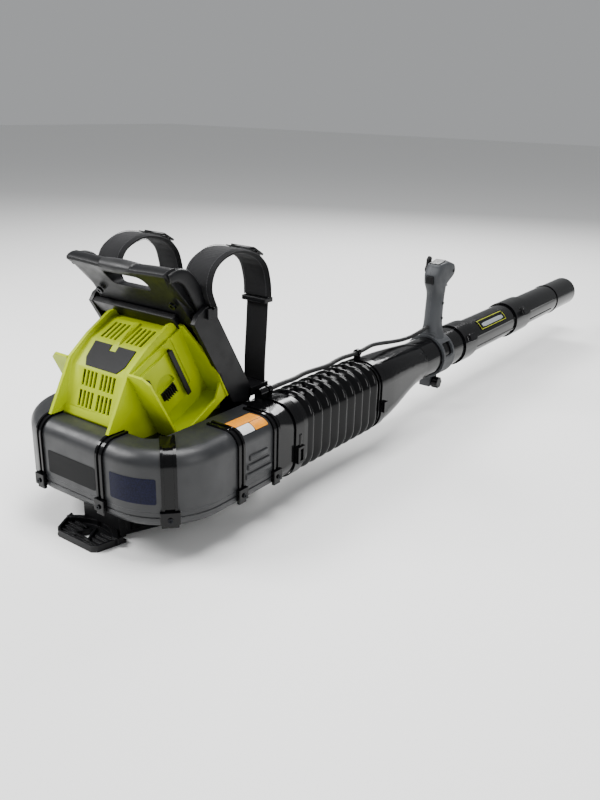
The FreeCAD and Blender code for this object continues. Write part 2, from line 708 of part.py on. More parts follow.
# ---- outlet and bellows -------------------------------------------------------------------
def outlet_cuff():
    """Socket over the duct's mouth that carries the bellows."""
    sleeve = loft([rounded_rect(DUCT_END + 0.2, 100, 114, 22, z=115), rounded_rect(112, 100, 126, 38),
                   rounded_rect(BELLOWS_REAR, 96, 126, 40)], True)
    bore = loft([rounded_rect(DUCT_END - 1, 93, 100, 18, z=114), rounded_rect(112, 93, 118, 30),
                 rounded_rect(BELLOWS_REAR + 1, 90, 120, 37)], True)
    return fuse([sleeve] + cable_gland()).cut(bore)


def sleeve_ring(y0, y1, width, height, radius, wall, z=BELLOWS_Z):
    across = (width, height, radius)
    within = (width - 2 * wall, height - 2 * wall, radius - wall)
    outer = loft([rounded_rect(y, *across, z=z) for y in (y0, y1)], True)
    inner = loft([rounded_rect(y, *within, z=z) for y in (y0 - 1, y1 + 1)], True)
    return outer.cut(inner)


def hose_clamp_rear():
    clamp = sleeve_ring(112.5, 134, 105.0, 131.0, 40, 2.2)
    lug = block(TUBE_X + 50.5, TUBE_X + 57, 114, 132, 78, 106)
    window = block(TUBE_X + 40, TUBE_X + 70, 119, 127, 82, 102)
    return clamp.fuse(lug).cut(window)


def bellows():
    """Flexible elbow: wide folds and narrow waists in turn."""
    pitch = (BELLOWS_FRONT - BELLOWS_REAR - 12.0) / CONVOLUTIONS

    def stack(shrink):
        def section(y, grow, radius):
            change = grow - 2 * shrink
            return rounded_rect(y, BELLOWS_W + change, BELLOWS_H + change, radius)

        wires = [section(BELLOWS_REAR - shrink, -16, 32)]
        for fold in range(CONVOLUTIONS):
            base = BELLOWS_REAR + 6.0 + fold * pitch
            wires += [section(base, -12, 32), section(base + pitch / 2.0, 0, 38)]
        wires += [section(BELLOWS_FRONT - 6.0, -12, 32), section(BELLOWS_FRONT + shrink, -16, 32)]
        return loft(wires, True)

    return stack(0.0).cut(stack(2.0))


def front_cuff():
    return sleeve_ring(BELLOWS_FRONT, 398, 96, 128, 40, 4)


def hose_clamp_front():
    clamp = sleeve_ring(378, 394, 101, 133, 42.5, 2.4)
    lug = block(TUBE_X + 49, TUBE_X + 56, 380, 392, 86, 106)
    return clamp.fuse(lug)


def transition_tube():
    """Square-to-round tube that the handle is clamped on; it ends in a bayonet socket."""
    def stack(shrink, start):
        sections = ((start, 96, 128, BELLOWS_Z), (430, 96, 122, BELLOWS_Z + 2), (505, 88, 98, TUBE_Z - 3),
                    (TAPER_END, 2 * REAR_TUBE_R, 2 * REAR_TUBE_R, TUBE_Z))
        return loft([rounded_rect(y, wide - 2 * shrink, high - 2 * shrink, 40 - shrink, z=z)
                     for y, wide, high, z in sections])
    straight = rod(REAR_TUBE_R, (TUBE_X, TAPER_END - 0.5, TUBE_Z), (TUBE_X, JOINT_1, TUBE_Z))
    socket = rod(REAR_TUBE_R + 3.6, (TUBE_X, JOINT_1 - 4, TUBE_Z), (TUBE_X, JOINT_1 + 48, TUBE_Z))
    outer = fuse([stack(0.0, 398.2), straight, socket])
    bore = rod(REAR_TUBE_R - TUBE_WALL, (TUBE_X, TAPER_END - 1, TUBE_Z), (TUBE_X, JOINT_1 + 1, TUBE_Z))
    seat = rod(MIDDLE_TUBE_R + RUN_FIT, (TUBE_X, JOINT_1, TUBE_Z), (TUBE_X, JOINT_1 + 60, TUBE_Z))
    tube = outer.cut(stack(TUBE_WALL, 398.1)).cut(bore).cut(seat)
    return fuse([tube] + coupling_lugs(REAR_TUBE_R + 3.6, JOINT_1))


def tube_rails(radius, start, end):
    """Long thin rails that stiffen a tube."""
    rails = []
    for angle in (20, 160, 200, 340):
        rail = block(radius - 1.0, radius + 1.6, 0, end - start, -1.6, 1.6)
        rail.rotate(V(0, 0, 0), V(0, 1, 0), -angle)
        rail.translate(V(TUBE_X, start, TUBE_Z))
        rails.append(rail)
    return rails


def middle_tube():
    body = rod(MIDDLE_TUBE_R, (TUBE_X, JOINT_1 + 1, TUBE_Z), (TUBE_X, JOINT_2, TUBE_Z))
    socket = rod(MIDDLE_TUBE_R + 4.0, (TUBE_X, JOINT_2 - 26, TUBE_Z), (TUBE_X, JOINT_2 + 52, TUBE_Z))
    collar = rod(MIDDLE_TUBE_R + 4.6, (TUBE_X, JOINT_1 + 48 + GAP, TUBE_Z), (TUBE_X, JOINT_1 + 58, TUBE_Z))
    outer = fuse([body, socket, collar] + tube_rails(MIDDLE_TUBE_R, JOINT_1 + 58, JOINT_2 - 26))
    bore = rod(MIDDLE_TUBE_R - TUBE_WALL, (TUBE_X, JOINT_1, TUBE_Z), (TUBE_X, JOINT_2 + 1, TUBE_Z))
    seat = rod(NOZZLE_R + RUN_FIT, (TUBE_X, JOINT_2, TUBE_Z), (TUBE_X, JOINT_2 + 60, TUBE_Z))
    return fuse([outer.cut(bore).cut(seat)] + coupling_lugs(MIDDLE_TUBE_R + 4.0, JOINT_2))


def nozzle_tube():
    body = rod(NOZZLE_R, (TUBE_X, JOINT_2 + 1, TUBE_Z), (TUBE_X, NOZZLE_TIP, TUBE_Z))
    collar = rod(NOZZLE_R + 4.8, (TUBE_X, JOINT_2 + 52 + GAP, TUBE_Z), (TUBE_X, JOINT_2 + 62, TUBE_Z))
    bead = rod(NOZZLE_R + 1.8, (TUBE_X, BEAD_Y - 3, TUBE_Z), (TUBE_X, BEAD_Y, TUBE_Z))
    outer = fuse([body, collar, bead] + tube_rails(NOZZLE_R, JOINT_2 + 62, BEAD_Y - 40))
    return outer.cut(rod(NOZZLE_R - TUBE_WALL, (TUBE_X, JOINT_2, TUBE_Z), (TUBE_X, NOZZLE_TIP + 1, TUBE_Z)))


def coupling_lugs(radius, mouth):
    """Two thumb lugs on a bayonet socket."""
    lugs = []
    for angle in (25, 205):
        lug = block(radius - 1.2, radius + 5.0, mouth + 14, mouth + 40, -8, 8)
        lug = soften(lug, 2.0, lambda e: along(e, V(1, 0, 0)))
        lug.rotate(V(0, 0, 0), V(0, 1, 0), -angle)
        lug.translate(V(TUBE_X, 0, TUBE_Z))
        lugs.append(lug)
    return lugs


def tube_label():
    """Blank plate on the middle tube's upper side, facing the user."""
    outer = ring(MIDDLE_TUBE_R + 1.0, MIDDLE_TUBE_R, (TUBE_X, 838, TUBE_Z), (TUBE_X, 978, TUBE_Z))
    wedge = block(0, 60, 836, 980, -12, 12)
    wedge.rotate(V(0, 0, 0), V(0, 1, 0), -48)
    wedge.translate(V(TUBE_X, 0, TUBE_Z))
    return outer.common(wedge)


# ---- handle clamp and grip ----------------------------------------------------------------
CLAMP_R = REAR_TUBE_R + 5.0
GRIP_LOW = 174.0
BOLT_R = 4.0
BOLT_Z = TUBE_Z - CLAMP_R - 14.0
KNOB_R = 12.0


def handle_clamp_upper():
    y0, y1 = HANDLE_RING
    half = ring(CLAMP_R, REAR_TUBE_R + RUN_FIT, (TUBE_X, y0, TUBE_Z), (TUBE_X, y1, TUBE_Z))
    half = half.common(block(0, 300, y0 - 5, y1 + 5, TUBE_Z, TUBE_Z + 80))
    saddle = block(TUBE_X - 17, TUBE_X + 17, y0 + 2, y1 - 10, TUBE_Z + 30, GRIP_LOW)
    saddle = saddle.cut(rod(REAR_TUBE_R + RUN_FIT, (TUBE_X, y0 - 5, TUBE_Z), (TUBE_X, y1 + 5, TUBE_Z)))
    window = block(TUBE_X + 20, TUBE_X + 80, y0 + 14, y1 - 14, TUBE_Z + 4, TUBE_Z + 24)
    return fuse([half.cut(window), saddle])


def handle_clamp_lower():
    y0, y1 = HANDLE_RING
    half = ring(CLAMP_R, REAR_TUBE_R + RUN_FIT, (TUBE_X, y0, TUBE_Z), (TUBE_X, y1, TUBE_Z))
    half = half.common(block(0, 300, y0 - 5, y1 + 5, TUBE_Z - 80, TUBE_Z))
    ear = block(TUBE_X - 12, TUBE_X + 12, y0 + 8, y1 - 8, BOLT_Z - 8, TUBE_Z - REAR_TUBE_R - 1)
    ear = ear.cut(rod(REAR_TUBE_R + RUN_FIT, (TUBE_X, y0 - 5, TUBE_Z), (TUBE_X, y1 + 5, TUBE_Z)))
    hole = rod(BOLT_R, (TUBE_X - 20, GRIP_Y, BOLT_Z), (TUBE_X + 20, GRIP_Y, BOLT_Z))
    return fuse([half, ear]).cut(hole)


def clamp_bolt():
    shank = rod(BOLT_R, (TUBE_X - 14, GRIP_Y, BOLT_Z), (TUBE_X + 24, GRIP_Y, BOLT_Z))
    head = rod(7.0, (TUBE_X - 18, GRIP_Y, BOLT_Z), (TUBE_X - 12, GRIP_Y, BOLT_Z))
    return fuse([shank, head])


def clamp_knob():
    knob = rod(KNOB_R, (TUBE_X + 13, GRIP_Y, BOLT_Z), (TUBE_X + 27, GRIP_Y, BOLT_Z))
    scallops = []
    for turn in range(6):
        angle = math.radians(60 * turn + 30)
        y, z = GRIP_Y + 15 * math.cos(angle), BOLT_Z + 15 * math.sin(angle)
        scallops.append(rod(4.5, (TUBE_X + 12, y, z), (TUBE_X + 28, y, z)))
    hole = rod(BOLT_R + RUN_FIT, (TUBE_X + 10, GRIP_Y, BOLT_Z), (TUBE_X + 24.2, GRIP_Y, BOLT_Z))
    return knob.cut(scallops).cut(hole)


# Side outline of the pistol grip: distance ahead of GRIP_Y, and height.
GRIP_PROFILE = [(-17, GRIP_LOW), (-21, 196), (-17, 228), (-15, 252), (-27, 272), (-29, 296), (-18, 316),
                (18, 322), (54, 310), (58, 294), (38, 280), (24, 274), (20, 236), (22, 204), (28, 184),
                (28, GRIP_LOW)]
GRIP_HALF = 18.0
GRIP_WALL = 3.0
PIN_R = 2.0
LEVER_STEM_R = 3.0
PIVOT = (GRIP_Y + 22.0, 270.0)
LEVER_AT = (GRIP_Y + 2.0, 302.0)
BUTTON_Z = (278.4, 294.2)


def grip_face(inset, radius):
    """Rounded side outline of the grip."""
    face = polygon([V(0, GRIP_Y + y, z) for y, z in GRIP_PROFILE])
    if inset:
        return face.makeOffset2D(-inset, join=2)
    face = face.makeOffset2D(-radius, join=2)
    face = face.makeOffset2D(2 * radius, join=0)
    return face.makeOffset2D(-radius, join=0)


def grip_body(inset):
    half = GRIP_HALF - inset
    return grip_face(inset, 5.0).extrude(V(2 * half, 0, 0)).translate(V(TUBE_X - half, 0, 0))


def flat_across(edge):
    return abs(edge.BoundBox.XMin - edge.BoundBox.XMax) < 1e-6


def grip_shell(side):
    body = soften(grip_body(0.0), 4.5, flat_across).cut(grip_body(GRIP_WALL))
    y, z = PIVOT
    trigger_room = block(TUBE_X - 9, TUBE_X + 9, y - 12, y + 20, z - 44, z + 8)
    low, high = BUTTON_Z
    button_room = block(TUBE_X - 8.3, TUBE_X + 8.3, GRIP_Y - 34, GRIP_Y - 10, low - 0.4, high + 0.4)
    ly, lz = LEVER_AT
    lever_hole = rod(LEVER_STEM_R + RUN_FIT, (TUBE_X - 25, ly, lz), (TUBE_X - 10, ly, lz))
    body = body.cut([trigger_room, button_room, lever_hole, trigger_pin()])
    near, far = (TUBE_X, TUBE_X + 40) if side > 0 else (TUBE_X - 40, TUBE_X)
    return body.common(block(near, far, GRIP_Y - 80, GRIP_Y + 100, 150, 360))


def trigger():
    y, z = PIVOT
    outline = [(-9, 5), (5, 6), (9, -8), (5, -30), (0, -38), (-5, -36), (-5, -10)]
    blade = prism_x([(y + a, z + b) for a, b in outline], TUBE_X - 8.5, TUBE_X + 8.5)
    hole = rod(PIN_R + RUN_FIT, (TUBE_X - 20, y, z), (TUBE_X + 20, y, z))
    return soften(blade, 1.2, flat_across).cut(hole)


def trigger_pin():
    y, z = PIVOT
    reach = GRIP_HALF - GRIP_WALL - 0.1
    return rod(PIN_R, (TUBE_X - reach, y, z), (TUBE_X + reach, y, z))


def boost_button():
    cap = block(TUBE_X - 8, TUBE_X + 8, GRIP_Y - 33, GRIP_Y - 22, *BUTTON_Z)
    return soften(cap, 1.5, lambda e: e.BoundBox.YMax < GRIP_Y - 32)


def cruise_lever():
    y, z = LEVER_AT
    face = TUBE_X - GRIP_HALF
    stem = rod(LEVER_STEM_R, (face - 4, y, z), (face + 6, y, z))
    disc = rod(9.0, (face - 7, y, z), (face - 0.4, y, z))
    outline = [(-6, -4), (6, -4), (10, 22), (3, 26), (-4, 20)]
    paddle = prism_x([(y + a, z + b) for a, b in outline], face - 7, face - 1.4)
    return fuse([stem, disc, paddle])


def head_panel():
    """Blank switch panel on the head's top."""
    plate = block(-11, 11, 0, 30, 0, 1.6)
    plate.rotate(V(0, 0, 0), V(1, 0, 0), math.degrees(math.atan2(6, 36)))
    plate.translate(V(TUBE_X, GRIP_Y - 15, 316.4))
    return plate.cut(grip_body(0.0))


def grip_screws():
    heads = []
    for y, z in ((4, 204), (3, 236), (40, 298)):
        start, out = V(TUBE_X + GRIP_HALF, GRIP_Y + y, z), V(1, 0, 0)
        head = Part.makeCylinder(3.0, 1.6, start, out)
        heads.append(head.cut(Part.makeCylinder(1.3, 1.2, start + out * 0.6, out)))
    return group(heads)


def trigger_switch():
    """Switch block inside the grip that the trigger works."""
    return block(TUBE_X - 12, TUBE_X + 12, GRIP_Y - 12, GRIP_Y + 8, 234, 256)


# ---- control cable ------------------------------------------------------------------------
MID_Y = (BELLOWS_REAR + BELLOWS_FRONT) / 2.0
CABLE_X = TUBE_X - 14.0
CABLE_Z = BELLOWS_Z + BELLOWS_H / 2.0 + CABLE_R + 5.0
GLAND_END = 114.0              # the cable leaves the machine here
CLIP_REAR = 124.0
CLIP_FRONT = 388.0
GRIP_ENTRY = (TUBE_X, GRIP_Y - 20.5, CABLE_Z + 1)


def cable_route(*points):
    """Points given as (sideways, y, up) from the cable's normal line."""
    return [(CABLE_X + side, y, CABLE_Z + up) for side, y, up in points]


CABLE_REAR = cable_route((0, GLAND_END, 0), (0, CLIP_REAR + 10, 0), (3, 162, 2.5), (1, 195, 0),
                         (-3, 228, 1.2), (0, MID_Y, 0))
CABLE_MIDDLE = cable_route((0, MID_Y, 0), (2.5, 288.5, -1.0), (0, 316, 1), (-2, 342, 1), (0, 368, 0),
                           (0, CLIP_FRONT, 0))
CABLE_FRONT = cable_route((0, CLIP_FRONT, 0), (0, 408, 0), (-2, 440, 2.5), (-3, 475, -2), (-2, 515, -8),
                          (0, 560, -13), (5, 600, -11)) + [GRIP_ENTRY]


def cable_gland():
    """Closed sleeve on the outlet cuff, where the cable comes out of the machine."""
    sleeve = rod(7.5, (CABLE_X, GLAND_END - 16, CABLE_Z), (CABLE_X, GLAND_END, CABLE_Z))
    foot = block(CABLE_X - 7.5, CABLE_X + 7.5, GLAND_END - 16, GLAND_END - 2, CABLE_Z - 16, CABLE_Z)
    return [sleeve, foot]


def with_clip(clamp, y):
    """Hose clamp with the eye on its top that holds the cable."""
    eye = ring(CABLE_R + 3, CABLE_R + GAP, (CABLE_X, y - 4, CABLE_Z), (CABLE_X, y + 4, CABLE_Z))
    foot = block(CABLE_X - 5, CABLE_X + 5, y - 4, y + 4, CABLE_Z - 12, CABLE_Z - 5)
    return fuse([clamp, eye, foot])


# ---- export -------------------------------------------------------------------------------
save(scroll_upper_shell(), "scroll_upper_shell")
save(scroll_lower_shell(), "scroll_lower_shell")
save(rib_bands(), "rib_bands")
save(group(shell_screws() + handle_screws()), "case_screws")
save(intake_guard(), "intake_guard")
save(impeller(), "impeller")
save(motor_mount(), "motor_mount")
save(motor_cap(), "motor_cap")
save(motor_stator(), "motor_stator")
save(motor_windings(), "motor_windings")
save(motor_rotor(), "motor_rotor")
save(motor_shaft(), "motor_shaft")
save(impeller_nut(), "impeller_nut")
save(motor_bearings(), "motor_bearings")
save(controller_board(), "controller_board")
save(heat_sink(), "heat_sink")
save(pod_shell(), "pod_shell")
save(front_badge(), "front_badge")
save(battery_bay(), "battery_bay_right")
save(mirror_x(battery_bay()), "battery_bay_left")
save(group(both_sides(battery_rails())), "battery_rails")
save(group(both_sides(terminal_block())), "terminal_blocks")
save(base_plate(), "base_plate")
save(foot_pad(), "foot_pad")
save(rubber_feet(), "rubber_feet")
save(back_frame(), "back_frame")
save(carry_handle(), "carry_handle")
save(handle_grip(), "handle_grip")
save(shoulder_strap(), "shoulder_strap_right")
save(mirror_x(shoulder_strap()), "shoulder_strap_left")
save(group(both_sides(strap_webbing())), "strap_webbing")
save(group(both_sides(strap_buckle())), "strap_buckles")
save(strap_anchors(), "strap_anchors")
save(back_pad(), "back_pad")
save(outlet_cuff(), "outlet_cuff")
save(bellows(), "bellows")
save(front_cuff(), "front_cuff")
save(transition_tube(), "transition_tube")
save(middle_tube(), "middle_tube")
save(tube_label(), "tube_label")
save(nozzle_tube(), "nozzle_tube")
save(handle_clamp_upper(), "handle_clamp_upper")
save(handle_clamp_lower(), "handle_clamp_lower")
save(clamp_bolt(), "clamp_bolt")
save(clamp_knob(), "clamp_knob")
for label, side in (("right", 1), ("left", -1)):
    save(grip_shell(side), "grip_shell_" + label)
save(trigger(), "trigger")
save(trigger_pin(), "trigger_pin")
save(boost_button(), "boost_button")
save(cruise_lever(), "cruise_lever")
save(head_panel(), "head_panel")
save(grip_screws(), "grip_screws")
save(trigger_switch(), "trigger_switch")
save(with_clip(hose_clamp_rear(), CLIP_REAR), "hose_clamp_rear")
save(with_clip(hose_clamp_front(), CLIP_FRONT), "hose_clamp_front")
save(bar(CABLE_REAR, CABLE_R), "control_cable_rear")
save(bar(CABLE_MIDDLE, CABLE_R), "control_cable_middle")
save(bar(CABLE_FRONT, CABLE_R), "control_cable_front")
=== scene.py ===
# %% [markdown]
# # A backpack leaf blower
# The CAD model fixes where every part of the machine is and how it moves. This file dresses it: it loads
# that model, gives each part its finish, and builds what CAD can't shape well, such as the padded straps,
# the folded rubber elbow and the cable. All lengths are metres, +Z is up and the blower tube points to +Y.

# %% Load the machine
import json
import math

import bmesh
import bpy
import numpy as np
from mathutils import Matrix, Vector


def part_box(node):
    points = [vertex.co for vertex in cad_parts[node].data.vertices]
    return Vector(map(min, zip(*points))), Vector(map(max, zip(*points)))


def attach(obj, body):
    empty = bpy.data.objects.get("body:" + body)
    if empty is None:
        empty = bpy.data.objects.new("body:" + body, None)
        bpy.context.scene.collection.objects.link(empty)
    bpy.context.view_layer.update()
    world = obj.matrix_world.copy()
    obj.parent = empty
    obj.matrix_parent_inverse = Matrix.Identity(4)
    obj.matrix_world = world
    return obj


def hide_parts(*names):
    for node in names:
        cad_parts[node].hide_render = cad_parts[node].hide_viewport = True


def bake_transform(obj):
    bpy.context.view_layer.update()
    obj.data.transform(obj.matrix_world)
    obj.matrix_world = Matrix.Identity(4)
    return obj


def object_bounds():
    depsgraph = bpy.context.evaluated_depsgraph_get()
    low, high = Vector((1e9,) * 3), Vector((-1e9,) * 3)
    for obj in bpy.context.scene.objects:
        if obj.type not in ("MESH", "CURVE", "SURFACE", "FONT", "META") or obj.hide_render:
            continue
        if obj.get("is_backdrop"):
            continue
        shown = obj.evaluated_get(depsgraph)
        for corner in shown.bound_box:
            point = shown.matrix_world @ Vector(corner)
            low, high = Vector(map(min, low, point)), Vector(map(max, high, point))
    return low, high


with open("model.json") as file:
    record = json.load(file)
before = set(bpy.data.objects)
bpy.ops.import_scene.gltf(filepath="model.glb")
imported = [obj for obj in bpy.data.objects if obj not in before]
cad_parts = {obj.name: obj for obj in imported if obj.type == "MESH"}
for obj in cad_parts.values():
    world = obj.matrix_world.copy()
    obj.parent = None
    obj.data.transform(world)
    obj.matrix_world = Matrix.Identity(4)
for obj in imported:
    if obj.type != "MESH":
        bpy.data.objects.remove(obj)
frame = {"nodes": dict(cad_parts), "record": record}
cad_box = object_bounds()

MM = 0.001
nodes = frame["nodes"]
record = frame["record"]
slot_of = {row["node"]: row["material_slot"] for row in record["subparts"]}
body_of = {name: body for body, names in record["behaviour"]["bodies"].items() for name in names}

# %% [markdown]
# ## Camera
# The camera stands a little over a metre from the housing, looking down at it from the front right, so the
# long tube runs away into the depth. A short lens that close gives the strong perspective of a catalogue
# shot. The camera could be aimed with a constraint, but a matrix built from three angles says it exactly.

# %% Camera
CAMERA_AT = Vector((0.88582, -0.82504, 0.6219))
AZIMUTH, DOWNWARD, ROLL = (math.radians(angle) for angle in (35.96, 20.52, 1.54))
LENS_MM = 36.06


def camera_turn():
    forward = Vector((-math.sin(AZIMUTH) * math.cos(DOWNWARD), math.cos(AZIMUTH) * math.cos(DOWNWARD),
                      -math.sin(DOWNWARD)))
    right = forward.cross(Vector((0, 0, 1))).normalized()
    up = right.cross(forward)
    rolled_right = right * math.cos(ROLL) + up * math.sin(ROLL)
    rolled_up = up * math.cos(ROLL) - right * math.sin(ROLL)
    return Matrix((rolled_right, rolled_up, -forward)).transposed()


lens = bpy.data.cameras.new("camera")
lens.lens = LENS_MM
lens.sensor_width = 36.0
camera = bpy.data.objects.new("camera", lens)
camera.matrix_world = Matrix.Translation(CAMERA_AT) @ camera_turn().to_4x4()
bpy.context.scene.collection.objects.link(camera)
bpy.context.scene.camera = camera
print("camera at", [round(value, 3) for value in CAMERA_AT])

# %% [markdown]
# ## Small helpers
# A material or a geometry recipe is a handful of nodes with wires between them. One function adds a node,
# sets its values and plugs in its wires, and that is all the help needed to keep recipes short. Colours are
# written as the hex codes that a designer would use, and turned into the linear values that light needs.


# %% Helpers
def linear(code):
    """sRGB hex code to linear red, green, blue and a solid alpha."""
    channels = [int(code[i:i + 2], 16) / 255 for i in (1, 3, 5)]
    return tuple(c / 12.92 if c <= 0.04045 else ((c + 0.055) / 1.055) ** 2.4 for c in channels) + (1.0,)


def add(tree, kind, inputs=None, **settings):
    """Adds one node to a tree, with its settings, its values and its wires."""
    made = tree.nodes.new(kind)
    for name, value in settings.items():
        setattr(made, name, value)
    for name, value in (inputs or {}).items():
        if isinstance(value, bpy.types.NodeSocket):
            tree.links.new(value, made.inputs[name])
        else:
            made.inputs[name].default_value = value
    return made


def put_in_scene(name, data):
    made = bpy.data.objects.new(name, data)
    bpy.context.scene.collection.objects.link(made)
    return made


def new_object(name, vertices, faces):
    mesh = bpy.data.meshes.new(name)
    mesh.from_pydata([tuple(v) for v in vertices], [], faces)
    mesh.validate()
    return put_in_scene(name, mesh)


def object_from(shape, name):
    """An object made from a bmesh, which is freed."""
    mesh = bpy.data.meshes.new(name)
    shape.to_mesh(mesh)
    shape.free()
    return put_in_scene(name, mesh)


def evaluated_mesh(piece):
    """The mesh of an object with its modifiers, as a plain mesh."""
    graph = bpy.context.evaluated_depsgraph_get()
    return bpy.data.meshes.new_from_object(piece.evaluated_get(graph), depsgraph=graph)


def bake_modifiers(piece):
    mesh = evaluated_mesh(piece)
    piece.modifiers.clear()
    piece.data = mesh
    return piece


def close_up(piece):
    """Welds a mesh's seams and turns its faces outwards."""
    shape = bmesh.new()
    shape.from_mesh(piece.data)
    bmesh.ops.remove_doubles(shape, verts=shape.verts, dist=0.01 * MM)
    bmesh.ops.recalc_face_normals(shape, faces=shape.faces)
    shape.to_mesh(piece.data)
    shape.free()
    return piece


def bevelled(piece, width, segments, angle_degrees=30.0):
    """Rounds the edges that turn by more than the angle."""
    bevel = piece.modifiers.new("edge radius", "BEVEL")
    bevel.width = width
    bevel.segments = segments
    bevel.limit_method = "ANGLE"
    bevel.angle_limit = math.radians(angle_degrees)
    return bake_modifiers(piece)


def smooth(piece, angle=35.0):
    piece.data.shade_smooth()
    piece.data.set_sharp_from_angle(angle=math.radians(angle))
    return piece


def finish(piece, material, body=None, replaces=(), slot=None):
    """Gives a finished piece its material, hangs it on its body's empty, and hides the CAD parts it replaces.
    """
    piece.data.materials.clear()
    piece.data.materials.append(material)
    if body:
        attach(piece, body)
    if replaces:
        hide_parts(*replaces)
        slot = slot or slot_of[replaces[0]]
    return piece


# %% [markdown]
# ## Floor and light
# A pale floor and big soft lamps show a black machine best: black plastic has hardly any colour of its own,
# so its shape is read from the long reflections of the lamps. One lamp stands high on the left, one low on
# the right and one overhead, and a strip behind draws the bright line along the top of each tube.


# %% Floor and lamps
def soft_box(name, at, aim, width, height, watts):
    lamp = bpy.data.lights.new(name, "AREA")
    lamp.shape = "RECTANGLE"
    lamp.size = width
    lamp.size_y = height
    lamp.energy = watts
    made = put_in_scene(name, lamp)
    direction = Vector(aim) - Vector(at)
    made.location = at
    made.rotation_mode = "QUATERNION"
    made.rotation_quaternion = direction.to_track_quat("-Z", "Y")


FLOOR_HALF, SKY_STRENGTH = 14.0, 0.42
floor = new_object("floor", [(-FLOOR_HALF, -FLOOR_HALF, 0), (FLOOR_HALF, -FLOOR_HALF, 0),
                             (FLOOR_HALF, FLOOR_HALF, 0), (-FLOOR_HALF, FLOOR_HALF, 0)], [(0, 1, 2, 3)])
floor_paint = bpy.data.materials.new("pale_floor")
floor_paint.use_nodes = True
floor_shader = floor_paint.node_tree.nodes["Principled BSDF"]
floor_shader.inputs["Base Color"].default_value = linear("#f0f0ef")
floor_shader.inputs["Roughness"].default_value = 0.9
floor.data.materials.append(floor_paint)
floor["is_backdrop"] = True

world = bpy.data.worlds.new("studio")
world.use_nodes = True
world.node_tree.nodes["Background"].inputs["Color"].default_value = linear("#f2f4f6")
world.node_tree.nodes["Background"].inputs["Strength"].default_value = SKY_STRENGTH
bpy.context.scene.world = world

soft_box("lamp_left", (-1.5, -1.3, 1.9), (0.0, 0.1, 0.2), 1.3, 0.9, 90)
soft_box("lamp_right", (2.4, -0.1, 1.2), (0.1, 0.5, 0.15), 0.4, 1.5, 20)
soft_box("lamp_behind", (-0.9, 2.6, 1.8), (0.1, 0.5, 0.2), 1.8, 0.6, 70)
soft_box("lamp_top", (0.3, 0.2, 2.4), (0.1, 0.2, 0.1), 1.0, 1.4, 85)
print("four lamps")

# %% [markdown]
# ## Moulded plastics
# Almost the whole machine is injection moulded. The skin of a moulding copies the steel mould: a polished
# mould gives the wet-looking black of the tube, and a spark-eroded one gives the satin of the housing. Two
# things break up a flat colour on a real part: slow changes of tone and gloss from handling, and edges
# painted a little lighter, partly as wear and partly as a painted highlight. The grain is really about 0.3
# mm, too fine to show from here, so it is drawn at about 1.5 mm. Each finish is built by the same function,
# because each is the same plastic in another mould.


# %% Moulded plastic
def new_material(name):
    """An empty material, its shader, and the object's own coordinates in metres."""
    made = bpy.data.materials.new(name)
    made.use_nodes = True
    tree = made.node_tree
    tree.nodes.clear()
    output = add(tree, "ShaderNodeOutputMaterial")
    shader = add(tree, "ShaderNodeBsdfPrincipled")
    tree.links.new(shader.outputs["BSDF"], output.inputs["Surface"])
    place = add(tree, "ShaderNodeTexCoord").outputs["Object"]
    return made, tree, shader, place


def patches(tree, place, size_mm, detail=3.0, low=0.35, high=0.65):
    """Cloudy 0-to-1 pattern whose patches are about size_mm across."""
    cloud = add(tree, "ShaderNodeTexNoise", {"Vector": place, "Scale": 1 / (size_mm * MM), "Detail": detail})
    return add(tree, "ShaderNodeMapRange", {"Value": cloud.outputs["Fac"], "From Min": low, "From Max": high})


# Cosine of the turn between an edge's rounded and true direction, where the painted highlight and wear start
# and where they are full.
EDGE_MARK_START_TURN, EDGE_MARK_FULL_TURN = 0.985, 0.82


def edge_highlight_and_wear(tree, place, reach_mm, speckle_mm=9.0):
    """Shading that rounds an edge, and a 0-to-1 mask of edges painted lighter, partly as wear and partly as a
    painted highlight, broken up as real wear is.
    """
    wide = add(tree, "ShaderNodeBevel", {"Radius": reach_mm * MM}, samples=3)
    true_normal = add(tree, "ShaderNodeNewGeometry").outputs["Normal"]
    turn = add(tree, "ShaderNodeVectorMath", {0: wide.outputs["Normal"], 1: true_normal},
               operation="DOT_PRODUCT")
    edge = add(tree, "ShaderNodeMapRange", {"Value": turn.outputs["Value"], "From Min": EDGE_MARK_START_TURN,
                                            "From Max": EDGE_MARK_FULL_TURN})
    broken = patches(tree, place, speckle_mm, 4.0, 0.42, 0.68)
    # The mask marks edges for wear and for a painted highlight.
    highlight_and_wear_mask = add(tree, "ShaderNodeMath", {0: edge.outputs["Result"], 1: broken.outputs["Result"]},
               operation="MULTIPLY")
    return wide.outputs["Normal"], highlight_and_wear_mask.outputs["Value"]


def mixed_colour(tree, share, first, second):
    return add(tree, "ShaderNodeMix", {0: share, 6: first, 7: second}, data_type="RGBA").outputs[2]


